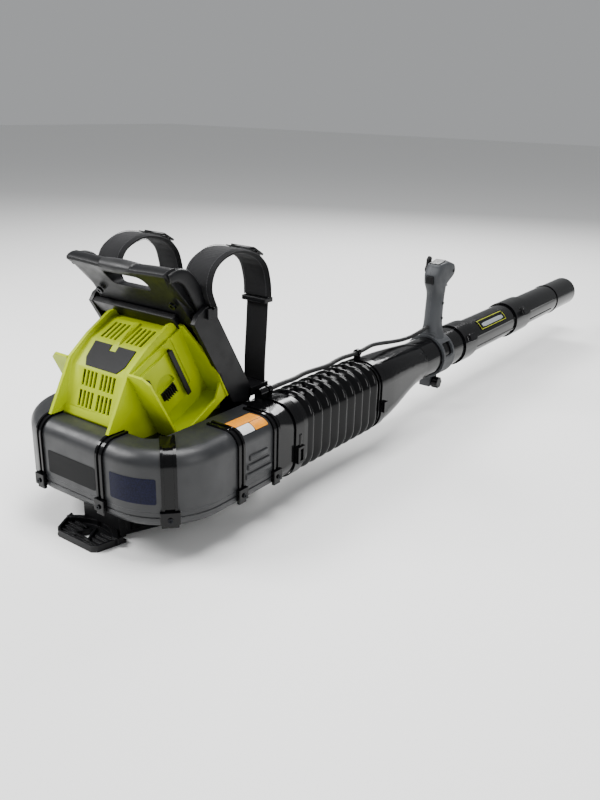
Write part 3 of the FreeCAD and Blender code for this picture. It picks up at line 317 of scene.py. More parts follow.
def moulded(name, colour, shade, highlight_and_wear_colour, gloss, grain_mm, grain_depth_mm, edge_band_mm=1.6, shine=0.5,
            round_edges=True):
    """Moulded thermoplastic: IOR 1.5, gloss is its lowest and highest roughness."""
    made, tree, shader, place = new_material(name)
    tone = patches(tree, place, 70)
    skin = mixed_colour(tree, tone.outputs["Result"], linear(colour), linear(shade))
    soft_edge, edges = edge_highlight_and_wear(tree, place, edge_band_mm)
    # Edges take a lighter colour: partly wear, partly a painted highlight.
    tree.links.new(mixed_colour(tree, edges, skin, linear(highlight_and_wear_colour)), shader.inputs["Base Color"])
    smudge = patches(tree, place, 22, 5.0)
    sheen = add(tree, "ShaderNodeMapRange", {"Value": smudge.outputs["Result"], "To Min": gloss[0],
                                             "To Max": gloss[1]})
    tree.links.new(sheen.outputs["Result"], shader.inputs["Roughness"])
    grain = add(tree, "ShaderNodeTexNoise", {"Vector": place, "Scale": 1 / (grain_mm * MM), "Detail": 2.0})
    bump = add(tree, "ShaderNodeBump", {"Height": grain.outputs["Fac"], "Strength": 1.0,
                                        "Distance": grain_depth_mm * MM})
    if round_edges:
        tree.links.new(soft_edge, bump.inputs["Normal"])
    tree.links.new(bump.outputs["Normal"], shader.inputs["Normal"])
    shader.inputs["IOR"].default_value = 1.5
    shader.inputs["Specular IOR Level"].default_value = shine
    return made


# Glass-filled nylon housing from a spark-eroded mould: an even satin grey.
charcoal_nylon = moulded("charcoal_nylon", "#202123", "#1b1c1e", "#3c3d40", (0.36, 0.48), 1.5, 0.03,
                         shine=0.4)
# Polypropylene from a polished mould: deep black, nearly wet, with slow waves where it shrank on cooling.
gloss_black = moulded("gloss_black_polypropylene", "#040405", "#070708", "#161618", (0.10, 0.18), 40.0, 0.02,
                      edge_band_mm=1.0, shine=0.2, round_edges=False)
# The same plastic from an etched mould: black with a broad, dull highlight.
matte_black = moulded("etched_black_polypropylene", "#08080a", "#0c0c0e", "#2c2c2f", (0.34, 0.46), 1.5, 0.04,
                      shine=0.22)
# ABS dyed lime, half gloss: the dye is strong, so that even its shadows stay yellow-green.
lime_abs = moulded("lime_abs", "#a9ba00", "#9eb000", "#c2d000", (0.34, 0.46), 1.6, 0.02, shine=0.16)
# Soft-touch grip over ABS: mid grey and dull, so that a hand doesn't slip.
grip_grey = moulded("soft_touch_grey", "#323437", "#2b2d30", "#505255", (0.50, 0.64), 1.4, 0.05, shine=0.4)
# Neoprene and cable sheath: black, with the bloom that rubber gets.
rubber_black = moulded("black_rubber", "#0b0b0c", "#111113", "#222224", (0.42, 0.58), 1.8, 0.05, 0.8, 0.4)
# Fan of glass-filled nylon, in the dark inside the housing.
fan_nylon = moulded("fan_nylon", "#1d1e20", "#232426", "#3c3d40", (0.42, 0.56), 1.5, 0.04)
print("seven plastics and rubbers")

# %% [markdown]
# ## Metals, board and film
# Shafts and bolts are turned and zinc plated, the screws are blackened, the motor's core is stamped from
# thin sheets that show as fine lines, its coils are lacquered copper, and the heat sink is drawn through a
# die, which leaves streaks along it. A metal's colour is the colour of its reflection, and its roughness and
# streaks tell the rest.


# %% Metals
def streaked(name, colour, shade, roughness, streak_mm, along):
    """Metal with streaks along one axis: along holds the pattern's share of each axis."""
    made, tree, shader, place = new_material(name)
    stretched = add(tree, "ShaderNodeMapping", {"Vector": place, "Scale": along})
    streak = patches(tree, stretched.outputs["Vector"], streak_mm, 4.0)
    skin = mixed_colour(tree, streak.outputs["Result"], linear(colour), linear(shade))
    tree.links.new(skin, shader.inputs["Base Color"])
    polish = add(tree, "ShaderNodeMapRange", {"Value": streak.outputs["Result"], "To Min": roughness - 0.06,
                                              "To Max": roughness + 0.08})
    tree.links.new(polish.outputs["Result"], shader.inputs["Roughness"])
    shader.inputs["Metallic"].default_value = 1.0
    return made


EVEN = (1.0, 1.0, 1.0)
zinc_steel = streaked("zinc_plated_steel", "#a9adb1", "#8f9397", 0.30, 2.0, EVEN)
black_oxide = streaked("black_oxide_steel", "#26272a", "#191a1c", 0.40, 1.5, EVEN)
core_steel = streaked("stamped_core_steel", "#8b8e92", "#5c5f63", 0.38, 0.7, (0.05, 0.05, 1.0))
lacquered_copper = streaked("lacquered_copper", "#c27a4a", "#96552c", 0.26, 0.9, (0.2, 0.2, 1.0))
drawn_aluminium = streaked("drawn_aluminium", "#c3c6ca", "#a5a8ac", 0.34, 1.2, (1.0, 1.0, 0.06))
print("five metals")

# %% [markdown]
# The badge and the tube's plate are printed film under a clear coat, left blank here. The film is nearly
# black with a faint steel-blue cast, and a thin frame line runs round the tube's plate. The circuit board
# is glass-epoxy under green lacquer.


# %% Film and board
def printed_film(name, colour, shade, fleck_mm):
    made, tree, shader, place = new_material(name)
    fleck = patches(tree, place, fleck_mm, 2.0)
    tree.links.new(mixed_colour(tree, fleck.outputs["Result"], linear(colour), linear(shade)),
                   shader.inputs["Base Color"])
    gloss = add(tree, "ShaderNodeMapRange", {"Value": fleck.outputs["Result"], "To Min": 0.32,
                                             "To Max": 0.42})
    tree.links.new(gloss.outputs["Result"], shader.inputs["Roughness"])
    shader.inputs["Specular IOR Level"].default_value = 0.08
    return made


badge_film = printed_film("badge_film", "#020203", "#050609", 1.8)
panel_film = printed_film("panel_film", "#11121f", "#171930", 2.0)
white_film = printed_film("white_film", "#c9caca", "#bcbdbd", 3.0)
amber_film = printed_film("amber_film", "#d98a1c", "#c97c12", 3.0)
trim_film = printed_film("trim_film", "#c9cf3a", "#b9c02c", 3.0)
silver_film = printed_film("silver_film", "#8d9298", "#777c83", 1.2)
board_lacquer = printed_film("board_lacquer", "#1f6a3c", "#195a32", 1.0)
print("seven films")

# %% [markdown]
# ## Woven nylon
# The harness is nylon cloth over foam, and its webbing is a heavier ribbon. Cloth differs from plastic in
# two ways: threads cross, which gives a fine check in the shading, and loose fibres catch light at grazing
# angles, which the shader calls sheen. Two waves at right angles make it, one across the strap and one along
# it.


# %% Woven nylon
BAND = 0.314  # metres from one band of a wave texture to the next, at scale 1


def woven(name, colour, shade, thread_mm, depth_mm, slope):
    made, tree, shader, place = new_material(name)
    turned = add(tree, "ShaderNodeMapping", {"Vector": place, "Rotation": (slope, 0.0, 0.0)})
    waves = []
    for direction in ("X", "Z"):
        wave = add(tree, "ShaderNodeTexWave", {"Vector": turned.outputs["Vector"],
                                               "Scale": BAND / (thread_mm * MM), "Distortion": 0.6,
                                               "Detail": 1.0}, bands_direction=direction)
        waves.append(wave.outputs["Fac"])
    check = add(tree, "ShaderNodeMath", {0: waves[0], 1: waves[1]}, operation="MULTIPLY").outputs["Value"]
    wear = patches(tree, place, 35, 5.0)
    tone = add(tree, "ShaderNodeMath", {0: check, 1: wear.outputs["Result"]}, operation="MAXIMUM")
    tree.links.new(mixed_colour(tree, tone.outputs["Value"], linear(shade), linear(colour)),
                   shader.inputs["Base Color"])
    bump = add(tree, "ShaderNodeBump", {"Height": check, "Strength": 0.8, "Distance": depth_mm * MM})
    tree.links.new(bump.outputs["Normal"], shader.inputs["Normal"])
    shader.inputs["Roughness"].default_value = 0.85
    shader.inputs["Specular IOR Level"].default_value = 0.25
    shader.inputs["Sheen Weight"].default_value = 0.06
    shader.inputs["Sheen Roughness"].default_value = 0.4
    return made


strap_cloth = woven("strap_nylon", "#161618", "#0c0c0e", 1.6, 0.35, 0.0)
pad_cloth = woven("pad_nylon", "#161618", "#0e0e10", 2.2, 0.4, 0.6)
webbing_cloth = woven("webbing_nylon", "#0c0c0e", "#060607", 1.4, 0.4, 0.0)
thread_nylon = moulded("sewing_thread", "#2e2e31", "#262629", "#3a3a3d", (0.6, 0.75), 1.0, 0.02, 0.3)
print("three cloths and a thread")

# %% [markdown]
# ## CAD parts that keep their shape
# CAD gives exact shapes but razor-sharp edges, and no moulding has those: every edge has a small radius,
# and the bright line it catches is what makes plastic look real. A CAD part arrives as loose triangles, so
# it is copied, welded, and given a narrow bevel. A part that the bevel would spoil keeps its own edges:
# the copy is compared with the CAD part's box, and the radius is halved until it fits.

# %% Weld and round
FLAT_ANGLE = math.radians(1.5)
BEVEL_ANGLE = math.radians(38)


def welded_copy(node_name, merge_flats=True):
    """The CAD part's triangles joined into one skin, its flats without inner edges."""
    shape = bmesh.new()
    shape.from_mesh(nodes[node_name].data)
    bmesh.ops.remove_doubles(shape, verts=shape.verts, dist=0.004 * MM)
    if merge_flats:
        bmesh.ops.dissolve_limit(shape, angle_limit=FLAT_ANGLE, verts=shape.verts, edges=shape.edges)
    return object_from(shape, node_name + "_skin")


def stays_in(piece, node_name):
    low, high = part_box(node_name)
    points = np.array([v.co for v in piece.data.vertices])
    spare = 0.05 * MM
    above, below = points.min(0) > np.array(low) - spare, points.max(0) < np.array(high) + spare
    return bool(above.all() and below.all())


def evenly_shaded(node_name, merge_flats=True, angle=26.0):
    """A welded copy with CAD's own edges; its large faces decide the shading beside its small ones."""
    piece = smooth(welded_copy(node_name, merge_flats), angle)
    even = piece.modifiers.new("even shading", "WEIGHTED_NORMAL")
    even.mode = "FACE_AREA_WITH_ANGLE"
    even.keep_sharp = True
    return bake_modifiers(piece)


def rounded(node_name, radius_mm):
    """A welded copy whose edges have a small radius."""
    for share in (1.0, 0.5, 0.25, 0.0):
        if not radius_mm * share:
            return evenly_shaded(node_name, node_name != "pod_shell")
        piece = welded_copy(node_name)
        bevel = piece.modifiers.new("edge radius", "BEVEL")
        bevel.width = radius_mm * share * MM
        bevel.segments = 3 if radius_mm > 1.5 else 2
        bevel.limit_method = "ANGLE"
        bevel.angle_limit = BEVEL_ANGLE
        bevel.use_clamp_overlap = True
        bevel.miter_outer = "MITER_ARC"
        piece.data.shade_smooth()
        even = piece.modifiers.new("even shading", "WEIGHTED_NORMAL")
        even.keep_sharp = True
        bake_modifiers(piece)
        if stays_in(piece, node_name):
            return piece
        bpy.data.objects.remove(piece)


# Edge radius of each moulding, in millimetres; 0 keeps the edge as CAD has it.
SKINS = (
    (charcoal_nylon, {"scroll_upper_shell": 0, "scroll_lower_shell": 0}),
    (gloss_black, {"rib_bands": 0.5, "outlet_cuff": 0, "hose_clamp_rear": 0.5, "hose_clamp_front": 0.5,
                   "front_cuff": 0.8, "transition_tube": 0, "middle_tube": 0, "nozzle_tube": 0}),
    (lime_abs, {"pod_shell": 0, "battery_bay_right": 0.9, "battery_bay_left": 0.9}),
    (matte_black, {"back_frame": 2.0, "base_plate": 1.0, "foot_pad": 0.9,
                   "strap_buckles": 1.0, "strap_anchors": 1.6, "clamp_knob": 0.8,
                   "cruise_lever": 0.8, "boost_button": 0, "head_panel": 0.4, "trigger": 0,
                   "battery_rails": 0.5, "terminal_blocks": 0.2, "motor_cap": 0.5, "intake_guard": 0.4}),
    (grip_grey, {"handle_clamp_lower": 1.0}),
    (badge_film, {"front_badge": 0.25, "tube_label": 0}),
)
for material, parts in SKINS:
    for part, radius in parts.items():
        skin = rounded(part, radius)
        finish(skin, material, body_of[part], (part,))
print(sum(len(parts) for material, parts in SKINS), "skins")

# %% [markdown]
# What is inside, and the small plain pieces, stay as CAD made them and only take a finish.

# %% Finishes of the remaining CAD parts
PLAIN = (
    (black_oxide, ("case_screws", "grip_screws")),
    (zinc_steel, ("clamp_bolt", "motor_shaft", "impeller_nut", "trigger_pin", "motor_bearings")),
    (core_steel, ("motor_stator", "motor_rotor")),
    (lacquered_copper, ("motor_windings",)),
    (drawn_aluminium, ("heat_sink",)),
    (board_lacquer, ("controller_board",)),
    (rubber_black, ("rubber_feet",)),
    (fan_nylon, ("impeller",)),
    (matte_black, ("motor_mount", "trigger_switch")),
)
for material, parts in PLAIN:
    for part in parts:
        nodes[part].data.materials.clear()
        nodes[part].data.materials.append(material)
print(sum(len(parts) for material, parts in PLAIN), "plain parts")

# %% [markdown]
# ## Control cable
# A sheathed cable runs from the housing to the grip, in three stretches, because it bends at three places.
# Its line is a smooth curve pulled by a few points, and a tube is drawn round that line.

# %% Control cable
CABLE_D = 8 * MM
CABLE_X, CABLE_Z = 134 * MM, 186 * MM
CABLE_ROUTES = {
    "cable_rear": [(0, 114, 0), (0, 134, 0), (3, 162, 2.5), (1, 195, 0), (-3, 228, 1.2), (0, 261, 0)],
    "cable_middle": [(0, 261, 0), (2.5, 288.5, -1), (0, 316, 1), (-2, 342, 1), (0, 368, 0), (0, 388, 0)],
    "cable_front": [(0, 388, 0), (0, 408, 0), (-2, 440, 2.5), (-3, 475, -2), (-2, 515, -8), (0, 560, -13),
                    (5, 600, -11), (14, 637.5, 1)],
}
CABLE_BODIES = {"cable_rear": ("chassis", "bellows_mid"), "cable_middle": ("bellows_mid", "blower_tube"),
                "cable_front": ("blower_tube", "handle")}
CABLE_NODES = {"cable_rear": "control_cable_rear", "cable_middle": "control_cable_middle",
               "cable_front": "control_cable_front"}


def tube_along(name, points, diameter):
    """A closed tube round a smooth curve through the pull of the points, and the curve's own line."""
    line = bpy.data.curves.new(name, "CURVE")
    line.dimensions = "3D"
    spline = line.splines.new("NURBS")
    spline.points.add(len(points) - 1)
    for knot, point in zip(spline.points, points):
        knot.co = (*point, 1.0)
    spline.order_u = 3
    spline.use_endpoint_u = True
    spline.resolution_u = 10
    holder = put_in_scene(name + "_line", line)
    path = [tuple(v.co) for v in evaluated_mesh(holder).vertices]
    line.bevel_depth = diameter / 2
    line.bevel_resolution = 5
    line.use_fill_caps = True
    tube = put_in_scene(name, evaluated_mesh(holder))
    bpy.data.objects.remove(holder)
    return smooth(close_up(tube)), path


for name, route in CABLE_ROUTES.items():
    points = [(CABLE_X + x * MM, y * MM, CABLE_Z + z * MM) for x, y, z in route]
    cable, path = tube_along(name, points, CABLE_D)
    finish(cable, rubber_black, None, (CABLE_NODES[name],))
    first, second = CABLE_BODIES[name]
    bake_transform(cable)
print("three stretches of cable")

# %% [markdown]
# ## Rubber elbow
# The elbow between the housing and the tube is blown rubber, folded like a concertina so that the tube can
# be aimed. It follows a rule: one rounded rectangle carried along a line, growing and shrinking once per
# fold. Geometry Nodes say exactly that: a line, a profile, and a scale that is a wave of the distance along
# it. Raising the wave to a power under 1 makes each crest round and each valley tight, as blown rubber is.
# It is made in two halves, because the machine bends in two directions there.


# %% A tree from named inputs
def new_tree(name, inputs):
    tree = bpy.data.node_groups.new(name, "GeometryNodeTree")
    for label, kind in inputs.items():
        tree.interface.new_socket(label, in_out="INPUT", socket_type="NodeSocket" + kind)
    tree.interface.new_socket("Geometry", in_out="OUTPUT", socket_type="NodeSocketGeometry")
    return tree, add(tree, "NodeGroupInput").outputs


def end_tree(tree, geometry, material):
    real = add(tree, "GeometryNodeRealizeInstances", {"Geometry": geometry})
    coloured = add(tree, "GeometryNodeSetMaterial", {"Geometry": real.outputs["Geometry"],
                                                     "Material": material})
    add(tree, "NodeGroupOutput", {"Geometry": coloured.outputs["Geometry"]})


def run_tree(name, start_mesh, tree, values):
    """Runs a tree on a mesh with its named inputs, and keeps the result as a plain mesh."""
    holder = put_in_scene(name, start_mesh)
    modifier = holder.modifiers.new(tree.name, "NODES")
    modifier.node_group = tree
    sockets = {item.name: item.identifier for item in tree.interface.items_tree if item.in_out == "INPUT"}
    for label, value in values.items():
        modifier[sockets[label]] = value
    bake_modifiers(holder)
    print(name, len(holder.data.polygons), "faces")
    return holder


# %% The folded tube's tree
STEPS_IN_A_FOLD, CREST_POWER = 20.0, 0.6


def folded_tube_tree():
    tree, given = new_tree("folded_tube", {"Start": "Vector", "End": "Vector", "Folds": "Float",
                                           "Phase": "Float", "Width": "Float", "Height": "Float",
                                           "Corner": "Float", "Depth": "Float", "Skin": "Material"})
    line = add(tree, "GeometryNodeCurvePrimitiveLine", {"Start": given["Start"], "End": given["End"]})
    count = add(tree, "ShaderNodeMath", {0: given["Folds"], 1: STEPS_IN_A_FOLD, 2: 1.0},
                operation="MULTIPLY_ADD")
    steps = add(tree, "GeometryNodeResampleCurve", {"Curve": line.outputs["Curve"],
                                                    "Count": count.outputs["Value"]})
    upright = add(tree, "GeometryNodeSetCurveNormal", {"Curve": steps.outputs["Curve"]}, mode="Z_UP")
    share = add(tree, "GeometryNodeSplineParameter").outputs["Factor"]
    turns = add(tree, "ShaderNodeMath", {0: share, 1: given["Folds"], 2: given["Phase"]},
                operation="MULTIPLY_ADD")
    angle = add(tree, "ShaderNodeMath", {0: turns.outputs["Value"], 1: 2 * math.pi}, operation="MULTIPLY")
    wave = add(tree, "ShaderNodeMath", {0: angle.outputs["Value"]}, operation="COSINE")
    half = add(tree, "ShaderNodeMath", {0: wave.outputs["Value"], 1: -0.5, 2: 0.5}, operation="MULTIPLY_ADD")
    crest = add(tree, "ShaderNodeMath", {0: half.outputs["Value"], 1: CREST_POWER}, operation="POWER")
    swell = add(tree, "ShaderNodeMath", {0: crest.outputs["Value"], 1: given["Depth"]}, operation="MULTIPLY")
    core = add(tree, "ShaderNodeMath", {0: 1.0, 1: given["Depth"]}, operation="SUBTRACT")
    scale = add(tree, "ShaderNodeMath", {0: core.outputs["Value"], 1: swell.outputs["Value"]},
                operation="ADD")
    frame_line = add(tree, "GeometryNodeCurvePrimitiveQuadrilateral",
                     {"Width": given["Width"], "Height": given["Height"]})
    soft_line = add(tree, "GeometryNodeFilletCurve", {"Curve": frame_line.outputs["Curve"], "Count": 10,
                                                      "Radius": given["Corner"]}, mode="POLY")
    skin = add(tree, "GeometryNodeCurveToMesh", {"Curve": upright.outputs["Curve"],
                                                 "Profile Curve": soft_line.outputs["Curve"],
                                                 "Scale": scale.outputs["Value"]})
    shaded = add(tree, "GeometryNodeSetShadeSmooth", {"Geometry": skin.outputs["Mesh"]})
    end_tree(tree, shaded.outputs["Geometry"], given["Skin"])
    return tree


# %% Two halves of the elbow
elbow_low, elbow_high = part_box("bellows")
elbow_middle = (elbow_low + elbow_high) / 2
ELBOW_X, ELBOW_Z, SEAM_Y = elbow_middle.x, elbow_middle.z, elbow_middle.y
FOLDS_IN_A_HALF, FOLD_CORNER, FOLD_DEPTH = 4.5, 40 * MM, 0.17
elbow_tree = folded_tube_tree()
ELBOW_HALVES = {"elbow_rear": (elbow_low.y, SEAM_Y, 0.0, "chassis", "bellows_mid"),
                "elbow_front": (SEAM_Y, elbow_high.y, 0.5, "bellows_mid", "blower_tube")}
for name, (start_y, end_y, phase, first, second) in ELBOW_HALVES.items():
    size = elbow_high - elbow_low
    half = run_tree(name, bpy.data.meshes.new(name), elbow_tree,
                    {"Start": (ELBOW_X, start_y, ELBOW_Z), "End": (ELBOW_X, end_y, ELBOW_Z),
                     "Folds": FOLDS_IN_A_HALF, "Phase": phase, "Width": size.x, "Height": size.z,
                     "Corner": FOLD_CORNER, "Depth": FOLD_DEPTH, "Skin": gloss_black})
    close_up(half)
    wall = half.modifiers.new("wall", "SOLIDIFY")
    wall.thickness = 2 * MM
    wall.offset = -1.0
    bake_modifiers(half)
    half.data.shade_smooth()
    print(name, "reaches", [round(c, 3) for c in half.bound_box[6]])
    finish(half, gloss_black, None, ("bellows",))
    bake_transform(half)

# %% [markdown]
# ## Padded shoulder straps
# Each strap is foam between two strips of cloth, sewn along its edges, so it is thin at the seams and
# crowned between them. It starts as two even sheets that follow the strap's line. The edges are pinned and
# the inside is blown up a little, as Cloth simulation does well: the crown then has the soft, slightly
# uneven swell of real padding. A limit on the movement keeps it inside the space that CAD gave it.

# %% Lines and sheets for soft parts
STRAP_LINE = [(17, 338), (7, 368), (20, 397), (58, 412), (102, 405), (130, 385), (141, 355), (143, 330)]
WEB_LINE = [(143, 322), (140, 272), (137, 232), (136, 192.4)]
STRAP_X, STRAP_HALF = 95 * MM, 26 * MM
ACROSS = Vector((1, 0, 0))


class Line:
    """A smooth line through (y, z) points in millimetres, asked by its share of the length."""

    def __init__(self, points, steps=16):
        spots = [np.array(point) for point in points]
        ends = [2 * spots[0] - spots[1], *spots, 2 * spots[-1] - spots[-2]]
        track = []
        for a, b, c, d in zip(ends, ends[1:], ends[2:], ends[3:]):
            for t in np.arange(steps) / steps:
                track.append(0.5 * (2 * b + (c - a) * t + (2 * a - 5 * b + 4 * c - d) * t * t
                                    + (3 * b - a - 3 * c + d) * t ** 3))
        track.append(spots[-1].astype(float))
        self.track = np.array(track) * MM
        walked = np.linalg.norm(np.diff(self.track, axis=0), axis=1)
        self.walked = np.concatenate([[0], np.cumsum(walked)])
        self.length = self.walked[-1]

    def at(self, share):
        where = share * self.length
        return Vector((0, np.interp(where, self.walked, self.track[:, 0]),
                       np.interp(where, self.walked, self.track[:, 1])))

    def outward(self, share):
        along = self.at(min(share + 0.01, 1)) - self.at(max(share - 0.01, 0))
        return ACROSS.cross(along).normalized()


def quilt(name, place, outward, rows, columns, half_thickness):
    """A closed pad of two even sheets; u runs along it from 0 to 1, and v across it from -1 to 1."""
    vertices, faces = [], []
    for side in (1, -1):
        for i in range(rows + 1):
            for j in range(columns + 1):
                u, v = i / rows, 2 * j / columns - 1
                vertices.append(place(u, v) + outward(u) * (side * half_thickness(u, v)))
    width = columns + 1
    under = (rows + 1) * width
    for i in range(rows):
        for j in range(columns):
            a = i * width + j
            faces.append((a, a + 1, a + width + 1, a + width))
            faces.append((under + a, under + a + width, under + a + width + 1, under + a + 1))
    rim = [*range(width), *range(2 * width - 1, under, width), *range(under - 2, under - width - 1, -1),
           *range(under - 2 * width, 0, -width)]
    for a, b in zip(rim, rim[1:] + rim[:1]):
        faces.append((a, b, under + b, under + a))
    return close_up(new_object(name, vertices, faces))


def blown_up(piece, pinned, pressure, limit):
    """Cloth under pressure, applied; no point moves further than the limit."""
    before = np.array([v.co for v in piece.data.vertices])
    held = piece.vertex_groups.new(name="held")
    held.add([v.index for v in piece.data.vertices if pinned(v.co)], 1.0, "REPLACE")
    cloth = piece.modifiers.new("cloth", "CLOTH")
    cloth.settings.vertex_group_mass = "held"
    cloth.settings.use_pressure = True
    cloth.settings.uniform_pressure_force = pressure
    cloth.settings.effector_weights.gravity = 0
    cloth.point_cache.frame_start = 1
    cloth.point_cache.frame_end = 20
    for step in range(1, 21):
        bpy.context.scene.frame_set(step)
    after = np.array([v.co for v in evaluated_mesh(piece).vertices])
    bpy.context.scene.frame_set(1)
    piece.modifiers.remove(cloth)
    piece.vertex_groups.clear()
    move = after - before
    length = np.linalg.norm(move, axis=1, keepdims=True)
    move *= np.minimum(1, limit / np.maximum(length, 1e-9))
    for vertex, spot in zip(piece.data.vertices, before + move):
        vertex.co = spot
    print(piece.name, "swelled by", round(float(length.max()) / MM, 1), "mm before the limit")
    piece.modifiers.new("soft", "SUBSURF").levels = 1
    bake_modifiers(piece)
    piece.data.shade_smooth()
    return piece


def loft(name, rings):
    """A closed skin over a row of rings with equally many points, capped at both ends."""
    count = len(rings[0])
    faces = []
    for first in range(0, (len(rings) - 1) * count, count):
        for k in range(count):
            a, b = first + k, first + (k + 1) % count
            faces.append((a, b, b + count, a + count))
    faces.append(tuple(range(count)))
    faces.append(tuple(range((len(rings) - 1) * count, len(rings) * count)))
    return close_up(new_object(name, [spot for ring in rings for spot in ring], faces))


def swept(name, line, x, section, start=0.0, end=1.0, steps=90, lift=0.0):
    """A closed band along a line; section is a ring of (across, out) points."""
    rings = []
    for i in range(steps + 1):
        share = start + (end - start) * i / steps
        out = line.outward(share)
        rings.append([line.at(share) + ACROSS * (x + across) + out * (height + lift)
                      for across, height in section])
    return smooth(loft(name, rings), 40)


def round_section(radius, across=0.0, count=10):
    return [(across + radius * math.cos(2 * math.pi * k / count), radius * math.sin(2 * math.pi * k / count))
            for k in range(count)]


def ribbon_section(half_width, half_thickness):
    """Flat ribbon whose woven edges are rounded and a touch thicker."""
    top = [(s * half_width, half_thickness * (1.0 if abs(s) < 0.85 else 1.15)) for s in
           (-0.97, -0.9, -0.8, -0.4, 0, 0.4, 0.8, 0.9, 0.97)]
    return [(-half_width, 0), *top, (half_width, 0), *[(a, -b) for a, b in reversed(top)]]


strap_line = Line(STRAP_LINE)
web_line = Line(WEB_LINE)
print("strap", round(strap_line.length / MM), "mm, webbing", round(web_line.length / MM), "mm")


# %% Two shoulder pads
def strap_thickness(u, v):
    rim = min(1.0, (1 - abs(v)) / 0.18)
    return (1.4 + 2.2 * math.sqrt(max(rim, 0))) * MM


SIDES = {"right": STRAP_X, "left": -STRAP_X}
for side, x in SIDES.items():
    pad = quilt("shoulder_pad_" + side, lambda u, v: strap_line.at(u) + ACROSS * (x + v * STRAP_HALF),
                strap_line.outward, 76, 14, strap_thickness)
    blown_up(pad, lambda spot: abs(abs(spot.x) - STRAP_X) > 20.5 * MM, 4.0, 2.4 * MM)
    finish(pad, strap_cloth, "chassis", ("shoulder_strap_" + side,))

# %% [markdown]
# A bound edge, called piping, closes the two strips of cloth: a thin cord wrapped in ribbon. Beside it runs
# a row of stitches. Every stitch is the same, so one is made and Geometry Nodes repeat it along the seam.


# %% Piping, stitches and reinforcing ribbon
def stitch_tree():
    tree, given = new_tree("stitch_row", {"Geometry": "Geometry", "Spacing": "Float", "Length": "Float",
                                          "Radius": "Float", "Skin": "Material"})
    line = add(tree, "GeometryNodeMeshToCurve", {"Mesh": given["Geometry"]})
    even = add(tree, "GeometryNodeResampleCurve", {"Curve": line.outputs["Curve"],
                                                   "Length": given["Spacing"]}, mode="LENGTH")
    along = add(tree, "GeometryNodeInputTangent").outputs["Tangent"]
    turn = add(tree, "FunctionNodeAlignRotationToVector", {"Vector": along}, axis="Z")
    stitch = add(tree, "GeometryNodeMeshCylinder", {"Vertices": 6, "Radius": given["Radius"],
                                                    "Depth": given["Length"]})
    placed = add(tree, "GeometryNodeInstanceOnPoints", {"Points": even.outputs["Curve"],
                                                        "Instance": stitch.outputs["Mesh"],
                                                        "Rotation": turn.outputs["Rotation"]})
    end_tree(tree, placed.outputs["Instances"], given["Skin"])
    return tree


stitching = stitch_tree()


def stitch_rows(name, rows, body="chassis"):
    """Stitches along several lines of points, as one piece."""
    mesh = bpy.data.meshes.new(name)
    points = [tuple(p) for row in rows for p in row]
    edges, first = [], 0
    for row in rows:
        edges += [(first + k, first + k + 1) for k in range(len(row) - 1)]
        first += len(row)
    mesh.from_pydata(points, edges, [])
    sewn = run_tree(name, mesh, stitching, {"Spacing": 4.4 * MM, "Length": 3.0 * MM, "Radius": 0.45 * MM,
                                            "Skin": thread_nylon})
    return finish(sewn, thread_nylon, body, slot="harness_fabric")


SEAM_IN, SEAM_OUT = 20.8 * MM, 4.6 * MM
for side, x in SIDES.items():
    for edge, sign in (("outer", 1), ("inner", -1)):
        cord = swept("piping_" + side + "_" + edge, strap_line, x,
                     round_section(1.7 * MM, sign * STRAP_HALF))
        finish(cord, webbing_cloth, "chassis", slot="harness_fabric")
    shares = np.linspace(0.02, 0.98, 70)
    rows = [[strap_line.at(s) + ACROSS * (x + sign * SEAM_IN) + strap_line.outward(s) * (face * SEAM_OUT)
             for s in shares] for sign in (1, -1) for face in (1, -1)]
    stitch_rows("strap_stitches_" + side, rows)

# %% [markdown]
# ## Webbing and buckles
# The lower half of each strap is flat webbing, woven stiff enough to keep its line. It passes through a
# ladder-lock buckle, which grips it by friction, and its tail hangs a little free. The same webbing is sewn
# over the pad's rear half, where it takes the pull.

# %% Webbing
for side, x in SIDES.items():
    tail = swept("webbing_" + side, web_line, x, ribbon_section(21 * MM, 1.5 * MM))
    finish(tail, webbing_cloth, "chassis", ("strap_webbing",))
    rear = swept("webbing_over_pad_" + side, strap_line, x, ribbon_section(18.5 * MM, 0.9 * MM), 0.56, 0.985,
                 60, lift=5.2 * MM)
    finish(rear, webbing_cloth, "chassis", slot="harness_fabric")
print("webbing on both sides")


# %% Ladder lock on each pad
LOCK_AT, LOCK_THICK, LOCK_LIFT = 0.67, 3.4 * MM, 7.4 * MM


def ladder_lock(name, share, x):
    """Buckle frame with two bars, lying on the pad at a share of its line."""
    middle, out = strap_line.at(share), strap_line.outward(share)
    along = out.cross(ACROSS).normalized()
    turn = Matrix((ACROSS, along, out)).transposed().to_4x4()
    shape = bmesh.new()
    bars = [((-22, 0), (3.2, 24)), ((22, 0), (3.2, 24)), ((0, -11), (46, 3.6)), ((0, 0), (46, 3.2)),
            ((0, 11), (46, 5.0))]
    for (across, forward), (wide, long) in bars:
        made = bmesh.ops.create_cube(shape, size=1.0)["verts"]
        bmesh.ops.scale(shape, vec=(wide * MM, long * MM, LOCK_THICK), verts=made)
        bmesh.ops.translate(shape, vec=(across * MM, forward * MM, 0), verts=made)
    lock = object_from(shape, name)
    lock.data.transform(Matrix.Translation(middle + ACROSS * x + out * LOCK_LIFT) @ turn)
    return smooth(bevelled(lock, 0.8 * MM, 2))


for side, x in SIDES.items():
    finish(ladder_lock("ladder_lock_" + side, LOCK_AT, x), gloss_black, "chassis", slot="black_matte")
print("two ladder locks")

# %% [markdown]
# ## Back pad
# The pad on the wearer's side is quilted: two seams across it divide the foam into three cushions, which
# lets it bend with the back. The seams are pinned like the edges while the cushions swell.

